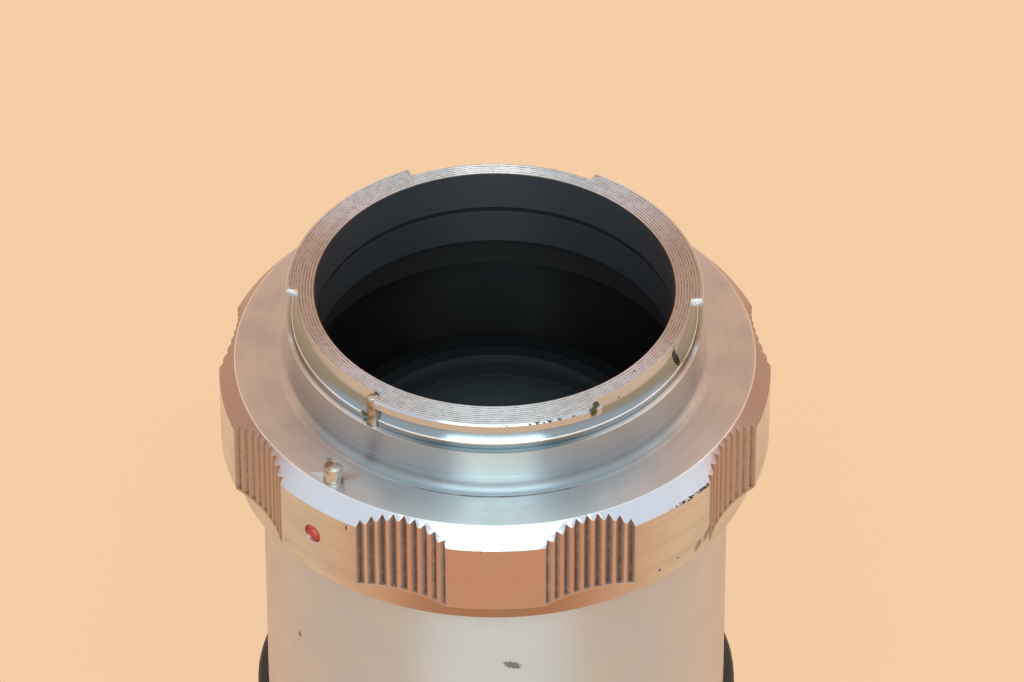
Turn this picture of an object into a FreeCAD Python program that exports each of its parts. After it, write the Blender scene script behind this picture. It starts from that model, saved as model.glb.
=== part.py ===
"""Preset camera lens, standing on its front rim with the camera mount up.

Millimetres. The optical axis is Z, the origin lies on it in the plane of the front rim, and
the photographed front of the object faces -Y. Heights count up from the front rim. A size
that ends in _drop counts down from the top of the mount, so the camera side keeps its form
when the lens gets longer.
"""
import FreeCAD, Part
import math
import os
import re
import Sketcher

# The driving sizes, each written once: name, value and what it measures.
SIZES = {
    # overall
    "overall_height": (118.0, "front rim to top of the mount"),
    "seat_gap": (0.02, "play between pieces that are screwed or pressed together"),
    "running_gap": (0.05, "radial play of pieces that turn or slide on each other"),
    "face_gap": (0.3, "axial gap between a turning ring and its neighbour"),
    # bayonet
    "throat_radius": (17.65, "blackened bore of the mount"),
    "throat_drop": (8.6, "lower end of the narrow throat"),
    "throat_groove_drop": (4.3, "upper edge of the groove in the throat"),
    "throat_groove_width": (0.6, "height of that groove"),
    "throat_groove_depth": (0.45, "depth of that groove"),
    "well_step": (1.25, "how much wider the bore is below the throat"),
    "neck_wall": (1.55, "wall of the neck between the lobes"),
    "neck_drop": (1.4, "lower end of the straight neck"),
    "ledge_step": (0.7, "how far the ledge stands out from the neck"),
    "ledge_drop": (2.82, "edge of the ledge"),
    "tail_drop": (12.5, "lower end of the tail"),
    "lobe_reach": (1.24, "how far a lobe stands out from the neck"),
    "lobe_thickness": (1.0, "height of a lobe"),
    "lobe_edge": (0.22, "bevel on a lobe's upper edge"),
    "lobe_angle": (65.0, "width of a lobe in degrees"),
    "lobe_middle_angle": (-92.4, "direction of the front lobe's middle in degrees"),
    "lobe_count": (3, "lobes"),
    # stop pin and neck screw
    "stop_pin_radius": (0.6, "stop pin"),
    "stop_pin_inset": (0.1, "distance of the stop pin's middle from the ledge's edge"),
    "stop_pin_angle": (-126.4, "direction of the stop pin in degrees"),
    "stop_pin_drop": (0.3, "top of the stop pin"),
    "stop_pin_depth": (6.0, "lower end of the stop pin"),
    "neck_screw_radius": (0.45, "screw on the ledge"),
    "neck_screw_inset": (0.55, "distance of that screw's middle from the ledge's edge"),
    "neck_screw_angle": (-25.3, "direction of that screw in degrees"),
    "neck_screw_drop": (2.5, "top of that screw"),
    "neck_screw_length": (2.2, "length of that screw"),
    # mount flange
    "collar_drop": (3.53, "top of the collar"),
    "collar_line_drop": (6.58, "turned line on the collar"),
    "collar_line_step": (0.12, "how far the collar stands out below that line"),
    "foot_radius": (1.05, "hollow at the foot of the collar"),
    "flange_drop": (8.3, "flange face"),
    "chamfer_width": (1.53, "width of the chamfer between flange face and grip"),
    "chamfer_drop": (10.2, "lower edge of the chamfer"),
    "skirt_wall": (2.9, "wall of the skirt round the barrel"),
    "grip_drop": (17.72, "lower edge of the grip"),
    "skirt_drop": (19.8, "lower edge of the skirt"),
    "flange_seat_drop": (13.0, "shoulder inside the flange, on top of the barrel"),
    # scalloped fields
    "scallop_count": (9, "scalloped fields"),
    "scallop_depth": (1.13, "depth of a scallop in its middle"),
    "scallop_cutter": (14.0, "radius of the cutter that made a scallop"),
    "groove_count": (9, "grooves in one scallop"),
    "groove_pitch": (1.07, "distance between grooves"),
    "groove_depth": (0.42, "depth of a groove"),
    "groove_width": (0.80, "width of a groove at its mouth"),
    "groove_runout": (0.25, "height of the groove's end above the grip's lower edge"),
    # locating pin and index dot
    "locating_pin_radius": (0.93, "locating pin"),
    "locating_pin_inset": (1.3, "distance of the locating pin from the flange's edge"),
    "locating_pin_angle": (-130.0, "direction of the locating pin in degrees"),
    "locating_pin_rise": (1.6, "height of the pin above the flange"),
    "locating_pin_depth": (3.0, "depth of its hole"),
    "locating_pin_flat": (0.35, "height of the step worn into its top"),
    "dot_radius": (1.0, "drilled dimple of the index dot"),
    "dot_angle": (-130.8, "direction of the index dot in degrees"),
    "dot_drop": (13.7, "middle of the index dot"),
    "dot_depth": (0.5, "depth of the dimple"),
    "dot_paint": (0.28, "thickness of the paint in it"),
    # rear barrel
    "barrel_step": (5.45, "how much wider the satin barrel is than the throat"),
    "barrel_wall": (1.5, "wall of the satin barrel"),
    "carrier_step": (0.9, "how far the flange on the barrel's lower end stands out"),
    "carrier_thickness": (2.0, "thickness of that flange"),
    # index ring
    "index_ring_wall": (1.1, "wall of the dark index ring"),
    "index_ring_length": (6.7, "length of the index ring"),
    "index_ring_bevel": (0.3, "bevel of its edges"),
    # distance scale ring
    "scale_wall": (2.2, "wall of the distance scale"),
    "scale_length": (7.3, "length of the distance scale"),
    "spigot_length": (0.9, "length of the part that is screwed into the grip"),
    "spigot_step": (0.7, "ledge in the grip that the scale ring is screwed against"),
    "carrier_gap": (0.1, "axial play of the barrel's flange"),
    # focusing ring
    "focus_wall": (2.7, "wall of the focusing grip round the chamber"),
    "focus_length": (20.3, "length of the focusing grip"),
    "focus_bevel": (0.8, "bevel of its edges"),
    "focus_lip": (1.6, "plain band at each end of the grip"),
    "focus_flute_count": (36, "flutes of the focusing grip"),
    "focus_flute_depth": (0.75, "depth of a flute"),
    "focus_flute_width": (2.0, "width of a flute at its mouth"),
    "chamber_play": (0.3, "gap round the barrel's flange"),
    "helicoid_step": (0.35, "how much wider the helicoid is than the barrel's bore"),
    "helicoid_inset": (1.6, "distance of the helicoid's end from the barrel's end"),
    "focus_travel_angle": (270.0, "turn of the focusing ring in degrees"),
    "focus_pin_radius": (0.5, "pin that stops the focusing ring"),
    "focus_pin_step": (0.2, "distance of that pin's middle from the barrel's outside"),
    "focus_pin_rise": (0.9, "how far it stands out of the barrel's end"),
    "focus_pin_depth": (1.6, "depth of its hole in the barrel's end"),
    "focus_groove_play": (0.1, "gap round that pin in its groove"),
    # front barrel
    "shoulder_length": (2.9, "length of the shoulder"),
    "shoulder_step": (1.2, "how far the shoulder stands out from the journal"),
    "shoulder_bevel": (0.4, "bevel of its edges"),
    "sleeve_drop": (30.0, "upper end of the guide sleeve"),
    "sleeve_wall": (2.75, "wall of the guide sleeve"),
    "journal_step": (1.2, "how much wider the journal of the aperture rings is than the barrel's bore"),
    "journal_foot": (8.0, "lower end of the front barrel"),
    "journal_wall": (2.2, "wall of the journal round the front cell and the iris"),
    # guide key
    "key_width": (3.0, "width of the guide key"),
    "key_length": (4.4, "height of the guide key"),
    "key_rise": (0.4, "lower end of the guide key above the index ring's lower end"),
    "key_reach": (1.3, "how far the guide key stands into the barrel's bore"),
    "key_seat": (0.4, "depth of the key's pocket in the barrel wall"),
    "key_floor_gap": (0.3, "gap between the key and its slot's floor"),
    "key_play": (0.06, "gap on each side of the key"),
    "key_screw_radius": (0.8, "screw of the guide key"),
    # filter ring
    "bezel_wall": (4.7, "wall of the filter ring's grip round the front barrel"),
    "bezel_length": (12.0, "length of the filter ring"),
    "bezel_bevel": (0.5, "bevel of its edges"),
    "bezel_step": (0.9, "step above the filter ring's grip"),
    "bezel_grip_length": (6.4, "length of the knurled grip"),
    "thread_step": (1.3, "how much wider the filter thread is than the front barrel"),
    "filter_thread_length": (3.6, "length of the filter thread"),
    # preset and aperture rings
    "preset_length": (6.3, "length of the preset ring"),
    "ring_wall": (2.9, "wall of the preset ring and of the aperture scale"),
    "aperture_length": (10.0, "length of the aperture ring"),
    "aperture_grip_step": (0.8, "how far the grip of the aperture ring stands out"),
    "aperture_grip_length": (5.0, "length of that grip"),
    "ring_bevel": (0.4, "bevel of both rings"),
    "ring_flute_count": (30, "flutes of both rings"),
    "ring_flute_depth": (0.55, "depth of a flute"),
    "ring_flute_width": (1.6, "width of a flute at its mouth"),
    "ring_travel_angle": (42.0, "turn of both rings in degrees"),
    "drive_pin_radius": (0.75, "pin between aperture ring and iris"),
    "drive_pin_angle": (61.0, "direction of that pin in degrees"),
    "drive_pin_bite": (0.4, "how far that pin reaches inside the blades' pivots"),
    "drive_slot_play": (0.3, "gap above and below the pin in its slot"),
    # iris
    "blade_width": (5.7, "width of a blade"),
    "blade_room": (0.2, "gap between a blade and the other blades' studs"),
    "blade_span_angle": (98.0, "length of a blade in degrees"),
    "blade_count": (8, "blades"),
    "pivot_inset": (1.2, "distance of the blades' pivots from the barrel's bore"),
    "blade_pad": (1.0, "metal of a blade outside its studs"),
    "blade_shoulder_angle": (4.0, "degrees from the drive stud to the narrow part of a blade"),
    "end_rounding_ratio": (0.53, "radius of a blade's round ends as a share of their width"),
    "blade_thickness": (0.15, "thickness of a blade"),
    "blade_layer": (0.25, "height of one blade above the next"),
    "blade_swing_angle": (27.0, "swing of a blade in degrees"),
    "stud_radius": (0.5, "studs of a blade"),
    "stud_reach": (3.5, "distance between a blade's two studs"),
    "stud_play": (0.08, "gap round a stud"),
    "seat_thickness": (1.2, "iris seat plate"),
    "seat_step": (0.2, "how much wider the iris plates are than the open blades"),
    "drive_ring_thickness": (2.4, "thickness of the drive ring"),
    "drive_ring_gap": (0.2, "gap between drive ring and shoulder"),
    "blade_headroom": (0.3, "gap between the blades and the drive ring"),
    # front cell
    "cell_foot": (5.4, "lower end of the front cell"),
    "cell_flange_inset": (0.2, "how much smaller the front cell's flange is than the front barrel"),
    "cell_top": (19.5, "upper end of the front cell"),
    "cell_lip": (1.3, "thickness of the lip above the second element"),
    "cell_lip_width": (2.0, "width of that lip"),
    "cell_wall": (1.2, "wall of the front cell"),
    "element_edge": (4.0, "edge thickness of the first element"),
    "element_foot": (8.0, "lower edge of the first element"),
    "first_front_curve": (50.0, "front surface of the first element"),
    "spacer_length": (1.2, "ring between the two elements"),
    "spacer_width": (1.7, "width of that ring"),
    "second_rear_curve": (130.0, "rear surface of the second element"),
    "front_ring_width": (1.5, "width of the front retaining ring"),
    "front_ring_length": (1.7, "thickness of the front retaining ring"),
    # middle cell
    "middle_rise": (1.4, "lower end of the middle cell above the iris"),
    "middle_lip": (2.5, "thickness of its lip"),
    "middle_lip_width": (1.0, "width of its lip"),
    "middle_length": (10.0, "length of the middle cell"),
    "middle_wall": (3.4, "wall of the middle cell"),
    "third_edge": (5.0, "edge thickness of the third element"),
    "third_curve": (60.0, "hollow surface of the third element"),
    "middle_ring_length": (1.5, "thickness of its retaining ring"),
    # rear lens tube
    "rear_tube_length": (37.6, "length of the rear lens tube"),
    "rear_thread_length": (10.0, "screwed part of the rear lens tube"),
    "rear_tube_step": (2.0, "step above the screwed part"),
    "rear_bore_step": (0.4, "how much narrower the rear lens tube is below the element"),
    "rear_tube_drop": (20.4, "upper end of the rear lens tube"),
    "rear_lip_width": (1.2, "width of the lip below the rear element"),
    "rear_lip": (1.5, "thickness of that lip"),
    "rear_wall": (1.2, "wall of the rear lens tube round the rear element"),
    "rear_edge": (4.0, "edge thickness of the rear element"),
    "rear_seat_drop": (27.5, "lower face of the rear element"),
    "rear_curve": (60.0, "upper surface of the rear element"),
    "rear_ring_width": (1.5, "width of the rear retaining ring"),
    "rear_ring_length": (2.4, "thickness of the rear retaining ring"),
    # screws
    "screw_slot": (0.3, "width and depth of a screw's slot"),
}

# Sizes that follow from the driving ones: each diameter grows from the throat by walls and steps,
# so a change of the throat or of one wall carries all pieces outside it along.
FOLLOWING = {
    "well_radius": ("throat_radius + well_step", "bore of the bayonet below the throat"),
    "neck_radius": ("throat_radius + neck_wall", "outside of the neck"),
    "ledge_radius": ("neck_radius + ledge_step", "edge of the ledge and outside of the screwed tail"),
    "lobe_radius": ("neck_radius + lobe_reach", "outside of the lobes"),
    "collar_radius": ("lobe_radius", "outside of the collar, which is as wide as the lobes"),
    "barrel_radius": ("throat_radius + barrel_step", "outside of the satin barrel"),
    "skirt_radius": ("barrel_radius + skirt_wall", "outside of the skirt, as deep as the scallops"),
    "grip_radius": ("skirt_radius + scallop_depth", "plain fields of the grip"),
    "flange_radius": ("grip_radius - chamfer_width", "outer edge of the flange face"),
    "stop_pin_place": ("ledge_radius - stop_pin_inset", "distance of the stop pin from the axis"),
    "neck_screw_place": ("ledge_radius - neck_screw_inset", "distance of the neck screw from the axis"),
    "locating_pin_place": ("flange_radius - locating_pin_inset", "distance of that pin from the axis"),
    "barrel_bore": ("barrel_radius - barrel_wall", "bore of the satin barrel"),
    "sleeve_radius": ("barrel_bore - running_gap", "outside of the guide sleeve"),
    "tube_bore": ("sleeve_radius - sleeve_wall", "bore of the guide sleeve"),
    "helicoid_radius": ("barrel_bore + helicoid_step", "outside of the helicoid"),
    "carrier_radius": ("barrel_radius + carrier_step", "flange on the barrel's lower end"),
    "chamber_radius": ("carrier_radius + chamber_play", "chamber for that flange"),
    "spigot_radius": ("chamber_radius + spigot_step", "part of the scale ring in the grip"),
    "focus_radius": ("chamber_radius + focus_wall", "outside of the focusing grip"),
    "focus_pin_place": ("barrel_radius + focus_pin_step", "distance of the focusing stop pin from the axis"),
    "scale_radius": ("barrel_radius + scale_wall", "outside of the distance scale"),
    "index_ring_radius": ("barrel_radius + index_ring_wall", "outside of the index ring"),
    "key_tip": ("barrel_bore - key_reach", "distance of the key's inner face from the axis"),
    "key_slot_floor": ("key_tip - key_floor_gap", "distance of the slot's floor from the axis"),
    "journal_radius": ("barrel_bore + journal_step", "journal of the aperture rings"),
    "shoulder_radius": ("journal_radius + shoulder_step", "outside of the shoulder"),
    "front_bore": ("journal_radius - journal_wall", "bore for the front cell and the iris"),
    "bezel_radius": ("journal_radius + bezel_wall", "grip of the filter ring"),
    "bezel_waist": ("bezel_radius - bezel_step", "outside of the filter ring above its grip"),
    "filter_thread_radius": ("journal_radius + thread_step", "filter thread, inside"),
    "preset_radius": ("journal_radius + ring_wall", "outside of the preset ring"),
    "aperture_radius": ("journal_radius + ring_wall", "scale of the aperture ring"),
    "aperture_grip_radius": ("aperture_radius + aperture_grip_step", "grip of the aperture ring"),
    "pivot_place": ("front_bore - pivot_inset", "distance of the blades' pivots from the axis"),
    "blade_outer": ("pivot_place - stud_radius - blade_room", "outer edge of an open blade"),
    "iris_radius": ("blade_outer - blade_width", "inner edge of an open blade"),
    "seat_bore": ("iris_radius + seat_step", "opening of the seat plate and the drive ring"),
    "drive_pin_tip": ("pivot_place - drive_pin_bite", "inner end of the drive pin"),
    "cell_flange_radius": ("journal_radius - cell_flange_inset", "flange of the front cell"),
    "element_radius": ("front_bore - cell_wall", "first and second element"),
    "cell_lip_radius": ("element_radius - cell_lip_width", "opening of the front cell's lip"),
    "spacer_bore": ("element_radius - spacer_width", "opening of the ring between the elements"),
    "front_ring_bore": ("element_radius - front_ring_width", "opening of the front retaining ring"),
    "third_radius": ("tube_bore - middle_wall", "third element"),
    "middle_lip_radius": ("third_radius - middle_lip_width", "opening of the middle cell's lip"),
    "rear_tube_radius": ("tube_bore - rear_tube_step", "outside of the rear lens tube"),
    "rear_radius": ("rear_tube_radius - rear_wall", "rear element"),
    "rear_tube_bore": ("rear_radius - rear_bore_step", "bore of the rear lens tube below the element"),
    "rear_lip_radius": ("rear_radius - rear_lip_width", "opening of the lip below the rear element"),
    "rear_ring_bore": ("rear_radius - rear_ring_width", "opening of the rear retaining ring"),
    "preset_foot": ("bezel_length + face_gap", "lower face of the preset ring"),
    "aperture_foot": ("preset_foot + preset_length + face_gap", "lower face of the aperture ring"),
    "shoulder_foot": ("aperture_foot + aperture_length + face_gap", "lower face of the shoulder"),
    "focus_foot": ("shoulder_foot + shoulder_length + face_gap", "lower face of the focusing grip"),
    "scale_foot": ("focus_foot + focus_length", "height where the scale ring leaves the grip"),
    "spigot_foot": ("scale_foot - spigot_length", "lower face of the scale ring"),
    "carrier_top": ("spigot_foot - carrier_gap", "upper face of the barrel's flange"),
    "barrel_end": ("carrier_top - carrier_thickness", "lower end of the barrel"),
    "helicoid_top": ("barrel_end - helicoid_inset", "upper end of the helicoid"),
    "scale_top": ("scale_foot + scale_length", "upper face of the scale ring"),
    "index_ring_foot": ("scale_top + face_gap", "lower face of the index ring"),
    "index_ring_top": ("index_ring_foot + index_ring_length", "upper face of the index ring"),
    "key_foot": ("index_ring_foot + key_rise", "lower end of the guide key, whose screw the ring hides"),
    "seat_top": ("cell_top + seat_thickness", "upper face of the iris seat"),
    "drive_ring_foot": ("seat_top + blade_count * blade_layer + blade_headroom", "its lower face"),
    "drive_ring_top": ("drive_ring_foot + drive_ring_thickness", "its upper face"),
    "iris_roof": ("drive_ring_top + drive_ring_gap", "shoulder above the iris"),
    "middle_foot": ("iris_roof + middle_rise", "lower end of the middle cell"),
    "sleeve_top": ("overall_height - sleeve_drop", "upper end of the guide sleeve"),
    "rear_tube_top": ("overall_height - rear_tube_drop", "upper end of the rear lens tube"),
    "rear_tube_foot": ("rear_tube_top - rear_tube_length", "lower end of the rear lens tube"),
    "rear_seat": ("overall_height - rear_seat_drop", "lower face of the rear element"),
}

document = FreeCAD.newDocument("camera_lens")
sheet = document.addObject("Spreadsheet::Sheet", "Sizes")
cells = [(alias, str(number), meaning) for alias, (number, meaning) in SIZES.items()]
cells += [(alias, "=" + formula, meaning) for alias, (formula, meaning) in FOLLOWING.items()]
ALIASES = {alias for alias, content, meaning in cells}
for row, (alias, content, meaning) in enumerate(cells, start=1):
    sheet.set("A%d" % row, alias)
    sheet.set("B%d" % row, content)
    sheet.set("C%d" % row, meaning)
    sheet.setAlias("B%d" % row, alias)
document.recompute()

# Heights and radii that several pieces share, worked out from the driving sizes.
THROAT_FOOT = "(overall_height - throat_drop)"
THROAT_GROOVE_TOP = "(overall_height - throat_groove_drop)"
THROAT_GROOVE_FOOT = "(overall_height - throat_groove_drop - throat_groove_width)"
TAIL_FOOT = "(overall_height - tail_drop)"
LEDGE_TOP = "(overall_height - ledge_drop)"
COLLAR_TOP = "(overall_height - collar_drop)"
FLANGE_TOP = "(overall_height - flange_drop)"
CHAMFER_FOOT = "(overall_height - chamfer_drop)"
GRIP_FOOT = "(overall_height - grip_drop)"
SKIRT_FOOT = "(overall_height - skirt_drop)"
BARREL_TOP = "(overall_height - flange_seat_drop)"
SHOULDER_TOP = "(shoulder_foot + shoulder_length)"
CHAMBER_FLOOR = "(barrel_end - face_gap)"
APERTURE_TOP = "(shoulder_foot - face_gap)"
PRESET_TOP = "(preset_foot + preset_length)"
RING_BORE = "(journal_radius + running_gap)"
DRIVE_PIN_HEIGHT = "(drive_ring_foot + drive_ring_thickness / 2)"
FIRST_TOP = "(element_foot + element_edge)"
SECOND_FOOT = "(element_foot + element_edge + spacer_length)"
CELL_SHOULDER = "(cell_top - cell_lip)"
THIRD_FOOT = "(middle_foot + middle_lip)"
REAR_EDGE_TOP = "(rear_seat + rear_edge)"


def tie(text):
    """A formula in plain size names, as a formula that refers to the sheet."""
    return re.sub(
        r"[a-z][a-z_]+", lambda word: ("Sizes." if word[0] in ALIASES else "") + word[0], str(text))


def value(text):
    """The number that a formula has now."""
    result = sheet.evalExpression(tie(text))
    return float(getattr(result, "Value", result))


def count_of(name):
    """A number of repeats, as a whole number."""
    return int(round(value(name)))


def origin_feature(body, role):
    """One of a body's own planes or axes."""
    return [feature for feature in body.Origin.OriginFeatures if feature.Role == role][0]


def new_body(label):
    body = document.addObject("PartDesign::Body", label)
    body.Label = label
    return body


def new_sketch(body, name, plane, level="0"):
    """A sketch on one of the body's planes, moved along the plane's normal to a level."""
    sketch = body.newObject("Sketcher::SketchObject", name)
    sketch.AttachmentSupport = (origin_feature(body, plane), [""])
    sketch.MapMode = "FlatFace"
    sketch.setExpression("AttachmentOffset.Base.z", tie(level))
    return sketch


def pin_point(sketch, edge, end, x_text, y_text):
    """Ties one end of an edge to two formulas."""
    for kind, axis, text in (("DistanceX", -2, x_text), ("DistanceY", -1, y_text)):
        if str(text) == "0":
            sketch.addConstraint(Sketcher.Constraint("PointOnObject", edge, end, axis))
            continue
        index = sketch.addConstraint(Sketcher.Constraint(kind, -1, 1, edge, end, value(text)))
        sketch.setExpression("Constraints[%d]" % index, tie(text))


def arc_between(start, end, radius):
    """An arc from start to end. Its centre is on the left for a positive radius.

    Returns the arc and its ends, 1 or 2, in the order start and finish."""
    chord = end.sub(start)
    half = chord.Length / 2
    reach = math.sqrt(max(radius * radius - half * half, 0.0))
    left = FreeCAD.Vector(-chord.y, chord.x, 0).normalize()
    centre = start.add(end).multiply(0.5).add(left.multiply(reach if radius > 0 else -reach))
    circle = Part.Circle(centre, FreeCAD.Vector(0, 0, 1), abs(radius))
    first, last = (start, end) if radius > 0 else (end, start)
    ends = (1, 2) if radius > 0 else (2, 1)
    return Part.ArcOfCircle(circle, circle.parameter(first), circle.parameter(last)), ends


def draw_outline(sketch, points):
    """A closed outline of straight edges and arcs.

    Each point is (x, y) or (x, y, radius): the radius makes the edge that leaves the point an
    arc, with its centre on the left of the way if the formula is positive."""
    places = [FreeCAD.Vector(value(point[0]), value(point[1]), 0) for point in points]
    first = sketch.GeometryCount
    ends = []
    for index, point in enumerate(points):
        here, there = places[index], places[(index + 1) % len(points)]
        if len(point) == 3:
            edge, order = arc_between(here, there, value(point[2]))
        else:
            edge, order = Part.LineSegment(here, there), (1, 2)
        sketch.addGeometry(edge, False)
        ends.append(order)
    for index, point in enumerate(points):
        following = (index + 1) % len(points)
        sketch.addConstraint(Sketcher.Constraint(
            "Coincident", first + index, ends[index][1], first + following, ends[following][0]))
    for index, point in enumerate(points):
        pin_point(sketch, first + index, ends[index][0], point[0], point[1])
        if len(point) == 3:
            radius = sketch.addConstraint(Sketcher.Constraint("Radius", first + index, abs(value(point[2]))))
            sketch.setExpression("Constraints[%d]" % radius, tie("abs(%s)" % point[2]))


def draw_circle(sketch, x_text, y_text, radius_text):
    """A circle whose middle and radius are tied to formulas."""
    centre = FreeCAD.Vector(value(x_text), value(y_text), 0)
    circle = Part.Circle(centre, FreeCAD.Vector(0, 0, 1), value(radius_text))
    index = sketch.addGeometry(circle, False)
    pin_point(sketch, index, 3, x_text, y_text)
    radius = sketch.addConstraint(Sketcher.Constraint("Radius", index, value(radius_text)))
    sketch.setExpression("Constraints[%d]" % radius, tie(radius_text))


def turned(label, points):
    """A piece turned on a lathe, from its half section of (radius, height) points."""
    body = new_body(label)
    section = new_sketch(body, label + "_section", "XZ_Plane")
    draw_outline(section, points)
    solid = body.newObject("PartDesign::Revolution", label + "_turned")
    solid.Profile = section
    solid.ReferenceAxis = (section, ["V_Axis"])
    solid.Angle = 360
    document.recompute()
    return body


def checked_cut(body, feature, before):
    """Makes sure that a cut took material away."""
    document.recompute()
    if not feature.Shape.Volume < before - 1e-6:
        raise RuntimeError(feature.Label + " cuts nothing")


def milled_up(body, name, draw, foot, length):
    """A pocket with a flat floor at a height, cut from there upwards along the axis."""
    before = body.Shape.Volume
    outline = new_sketch(body, name + "_outline", "XY_Plane", foot)
    draw(outline)
    cut = body.newObject("PartDesign::Pocket", name)
    cut.Profile = outline
    cut.Reversed = True
    cut.setExpression("Length", tie(length))
    checked_cut(body, cut, before)
    return cut


def repeated(body, name, features, count):
    """Copies of features, evenly spaced round the axis."""
    pattern = body.newObject("PartDesign::PolarPattern", name)
    pattern.Originals = features
    pattern.Axis = (origin_feature(body, "Z_Axis"), [""])
    pattern.Angle = 360
    pattern.setExpression("Occurrences", tie(count))
    body.Tip = pattern
    document.recompute()
    return pattern


def around(distance, turn):
    """The x and y formulas of a point at a distance from the axis in a direction."""
    return "(%s) * cos((%s) * 1deg)" % (distance, turn), "(%s) * sin((%s) * 1deg)" % (distance, turn)


def drilled(body, name, distance, turn, radius, foot, length):
    """A hole along the axis, with its lower end at a height."""
    x_text, y_text = around(distance, turn)
    return milled_up(body, name, lambda sketch: draw_circle(sketch, x_text, y_text, radius), foot, length)


def flute_outline(outside, depth, width):
    """A groove of V section at the front, its mouth a little outside the surface."""
    mouth = 0.1
    slope = "(%s / 2 / %s)" % (width, depth)
    half = "((%s + %s) * %s)" % (depth, mouth, slope)
    tip = "-(%s - %s)" % (outside, depth)
    brim = "-(%s + %s)" % (outside, mouth)
    return [("0", tip), ("-" + half, brim), (half, brim)]


def fluted(body, name, outside, depth, width, count, foot, length):
    """Evenly spaced V grooves round a ring."""
    outline = flute_outline(outside, depth, width)
    groove = milled_up(body, name, lambda sketch: draw_outline(sketch, outline), foot, length)
    return repeated(body, name + "_round", [groove], count)


def upright_rod(label, radius, distance, turn, foot, length):
    """A cylinder that stands along the axis."""
    rod = document.addObject("Part::Cylinder", label)
    rod.Label = label
    x_text, y_text = around(distance, turn)
    rod.setExpression("Radius", tie(radius))
    rod.setExpression("Height", tie(length))
    rod.setExpression("Placement.Base.x", tie(x_text))
    rod.setExpression("Placement.Base.y", tie(y_text))
    rod.setExpression("Placement.Base.z", tie(foot))
    return rod


def radial_placement(start, turn, height):
    """The placement formula of a thing whose own Z points outwards, at a distance from the axis."""
    x_text, y_text = around(start, turn)
    return tie(
        "placement(vector(%s; %s; %s); rotation((%s) * 1deg; 90; 0))" % (x_text, y_text, height, turn))


def radial_rod(label, radius, start, length, turn, height):
    """A cylinder that points straight out from the axis."""
    rod = document.addObject("Part::Cylinder", label)
    rod.Label = label
    rod.setExpression("Radius", tie(radius))
    rod.setExpression("Height", tie(length))
    rod.setExpression("Placement", radial_placement(start, turn, height))
    return rod


def radial_block(label, along_axis, across, outwards, start, turn, height):
    """A block seen from outside: its size along the axis, across and outwards."""
    block = document.addObject("Part::Box", label)
    block.Label = label
    block.setExpression("Length", tie(along_axis))
    block.setExpression("Width", tie(across))
    block.setExpression("Height", tie(outwards))
    x_text, y_text = around(start, turn)
    side_x, side_y = around("(%s) / 2" % across, turn)
    top = "%s + (%s) / 2" % (height, along_axis)
    block.setExpression("Placement", tie(
        "placement(vector(%s + %s; %s - %s; %s); rotation((%s) * 1deg; 90; 0))"
        % (x_text, side_y, y_text, side_x, top, turn)))
    return block


def less(label, base, cutters):
    """A base piece with the cutters taken away."""
    result = base
    for index, cutter in enumerate(cutters):
        cut = document.addObject("Part::Cut", "%s_cut_%d" % (label, index))
        cut.Base = result
        cut.Tool = cutter
        document.recompute()
        if not cut.Shape.Volume < result.Shape.Volume - 1e-6:
            raise RuntimeError(cutter.Label + " cuts nothing")
        result = cut
    return result


nodes = {}


def keep(name, piece):
    """Names a finished piece. The label is also its file's name."""
    if piece.Label != name:
        for other in document.Objects:
            if other.Label == name:
                other.Label = name + "_blank"
        piece.Label = name
    nodes[name] = piece


# Bayonet: neck, ledge and tail are turned, then the three lobes are added at the rim.
bayonet = turned("bayonet_mount", [
    ("throat_radius", "overall_height"),
    ("throat_radius", THROAT_GROOVE_TOP),
    ("throat_radius + throat_groove_depth", THROAT_GROOVE_TOP),
    ("throat_radius + throat_groove_depth", THROAT_GROOVE_FOOT),
    ("throat_radius", THROAT_GROOVE_FOOT),
    ("throat_radius", THROAT_FOOT),
    ("well_radius", THROAT_FOOT),
    ("well_radius", TAIL_FOOT),
    ("ledge_radius", TAIL_FOOT),
    ("ledge_radius", LEDGE_TOP, "-2 * (ledge_drop - neck_drop)"),
    ("neck_radius", "overall_height - neck_drop"),
    ("neck_radius", "overall_height"),
])
lobe_section = new_sketch(bayonet, "lobe_section", "XZ_Plane")
draw_outline(lobe_section, [
    ("neck_radius - 0.5", "overall_height"),
    ("neck_radius - 0.5", "overall_height - lobe_thickness"),
    ("lobe_radius", "overall_height - lobe_thickness"),
    ("lobe_radius", "overall_height - lobe_edge"),
    ("lobe_radius - lobe_edge", "overall_height"),
])
lobe_section.AttachmentOffset = FreeCAD.Placement(
    FreeCAD.Vector(), FreeCAD.Rotation(FreeCAD.Vector(0, 1, 0), value("lobe_middle_angle - lobe_angle / 2")))
lobe_section.setExpression(
    "AttachmentOffset.Rotation.Angle", tie("(lobe_middle_angle - lobe_angle / 2) * 1deg"))
lobe = bayonet.newObject("PartDesign::Revolution", "lobe")
lobe.Profile = lobe_section
lobe.ReferenceAxis = (lobe_section, ["V_Axis"])
lobe.setExpression("Angle", tie("lobe_angle * 1deg"))
document.recompute()
repeated(bayonet, "lobes", [lobe], "lobe_count")
drilled(bayonet, "stop_pin_hole", "stop_pin_place", "stop_pin_angle", "stop_pin_radius + seat_gap",
        "overall_height - stop_pin_depth", "stop_pin_depth")
drilled(bayonet, "neck_screw_hole", "neck_screw_place", "neck_screw_angle", "neck_screw_radius + seat_gap",
        "overall_height - neck_screw_drop - neck_screw_length",
        "neck_screw_length + neck_screw_drop - lobe_thickness")
keep("bayonet_mount", bayonet)

# The stop pin is drilled in on the joint line of bayonet and collar, so it also locks them.
stop_pin = upright_rod("stop_pin", "stop_pin_radius", "stop_pin_place", "stop_pin_angle",
                       "overall_height - stop_pin_depth", "stop_pin_depth - stop_pin_drop")
keep("stop_pin", stop_pin)

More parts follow.
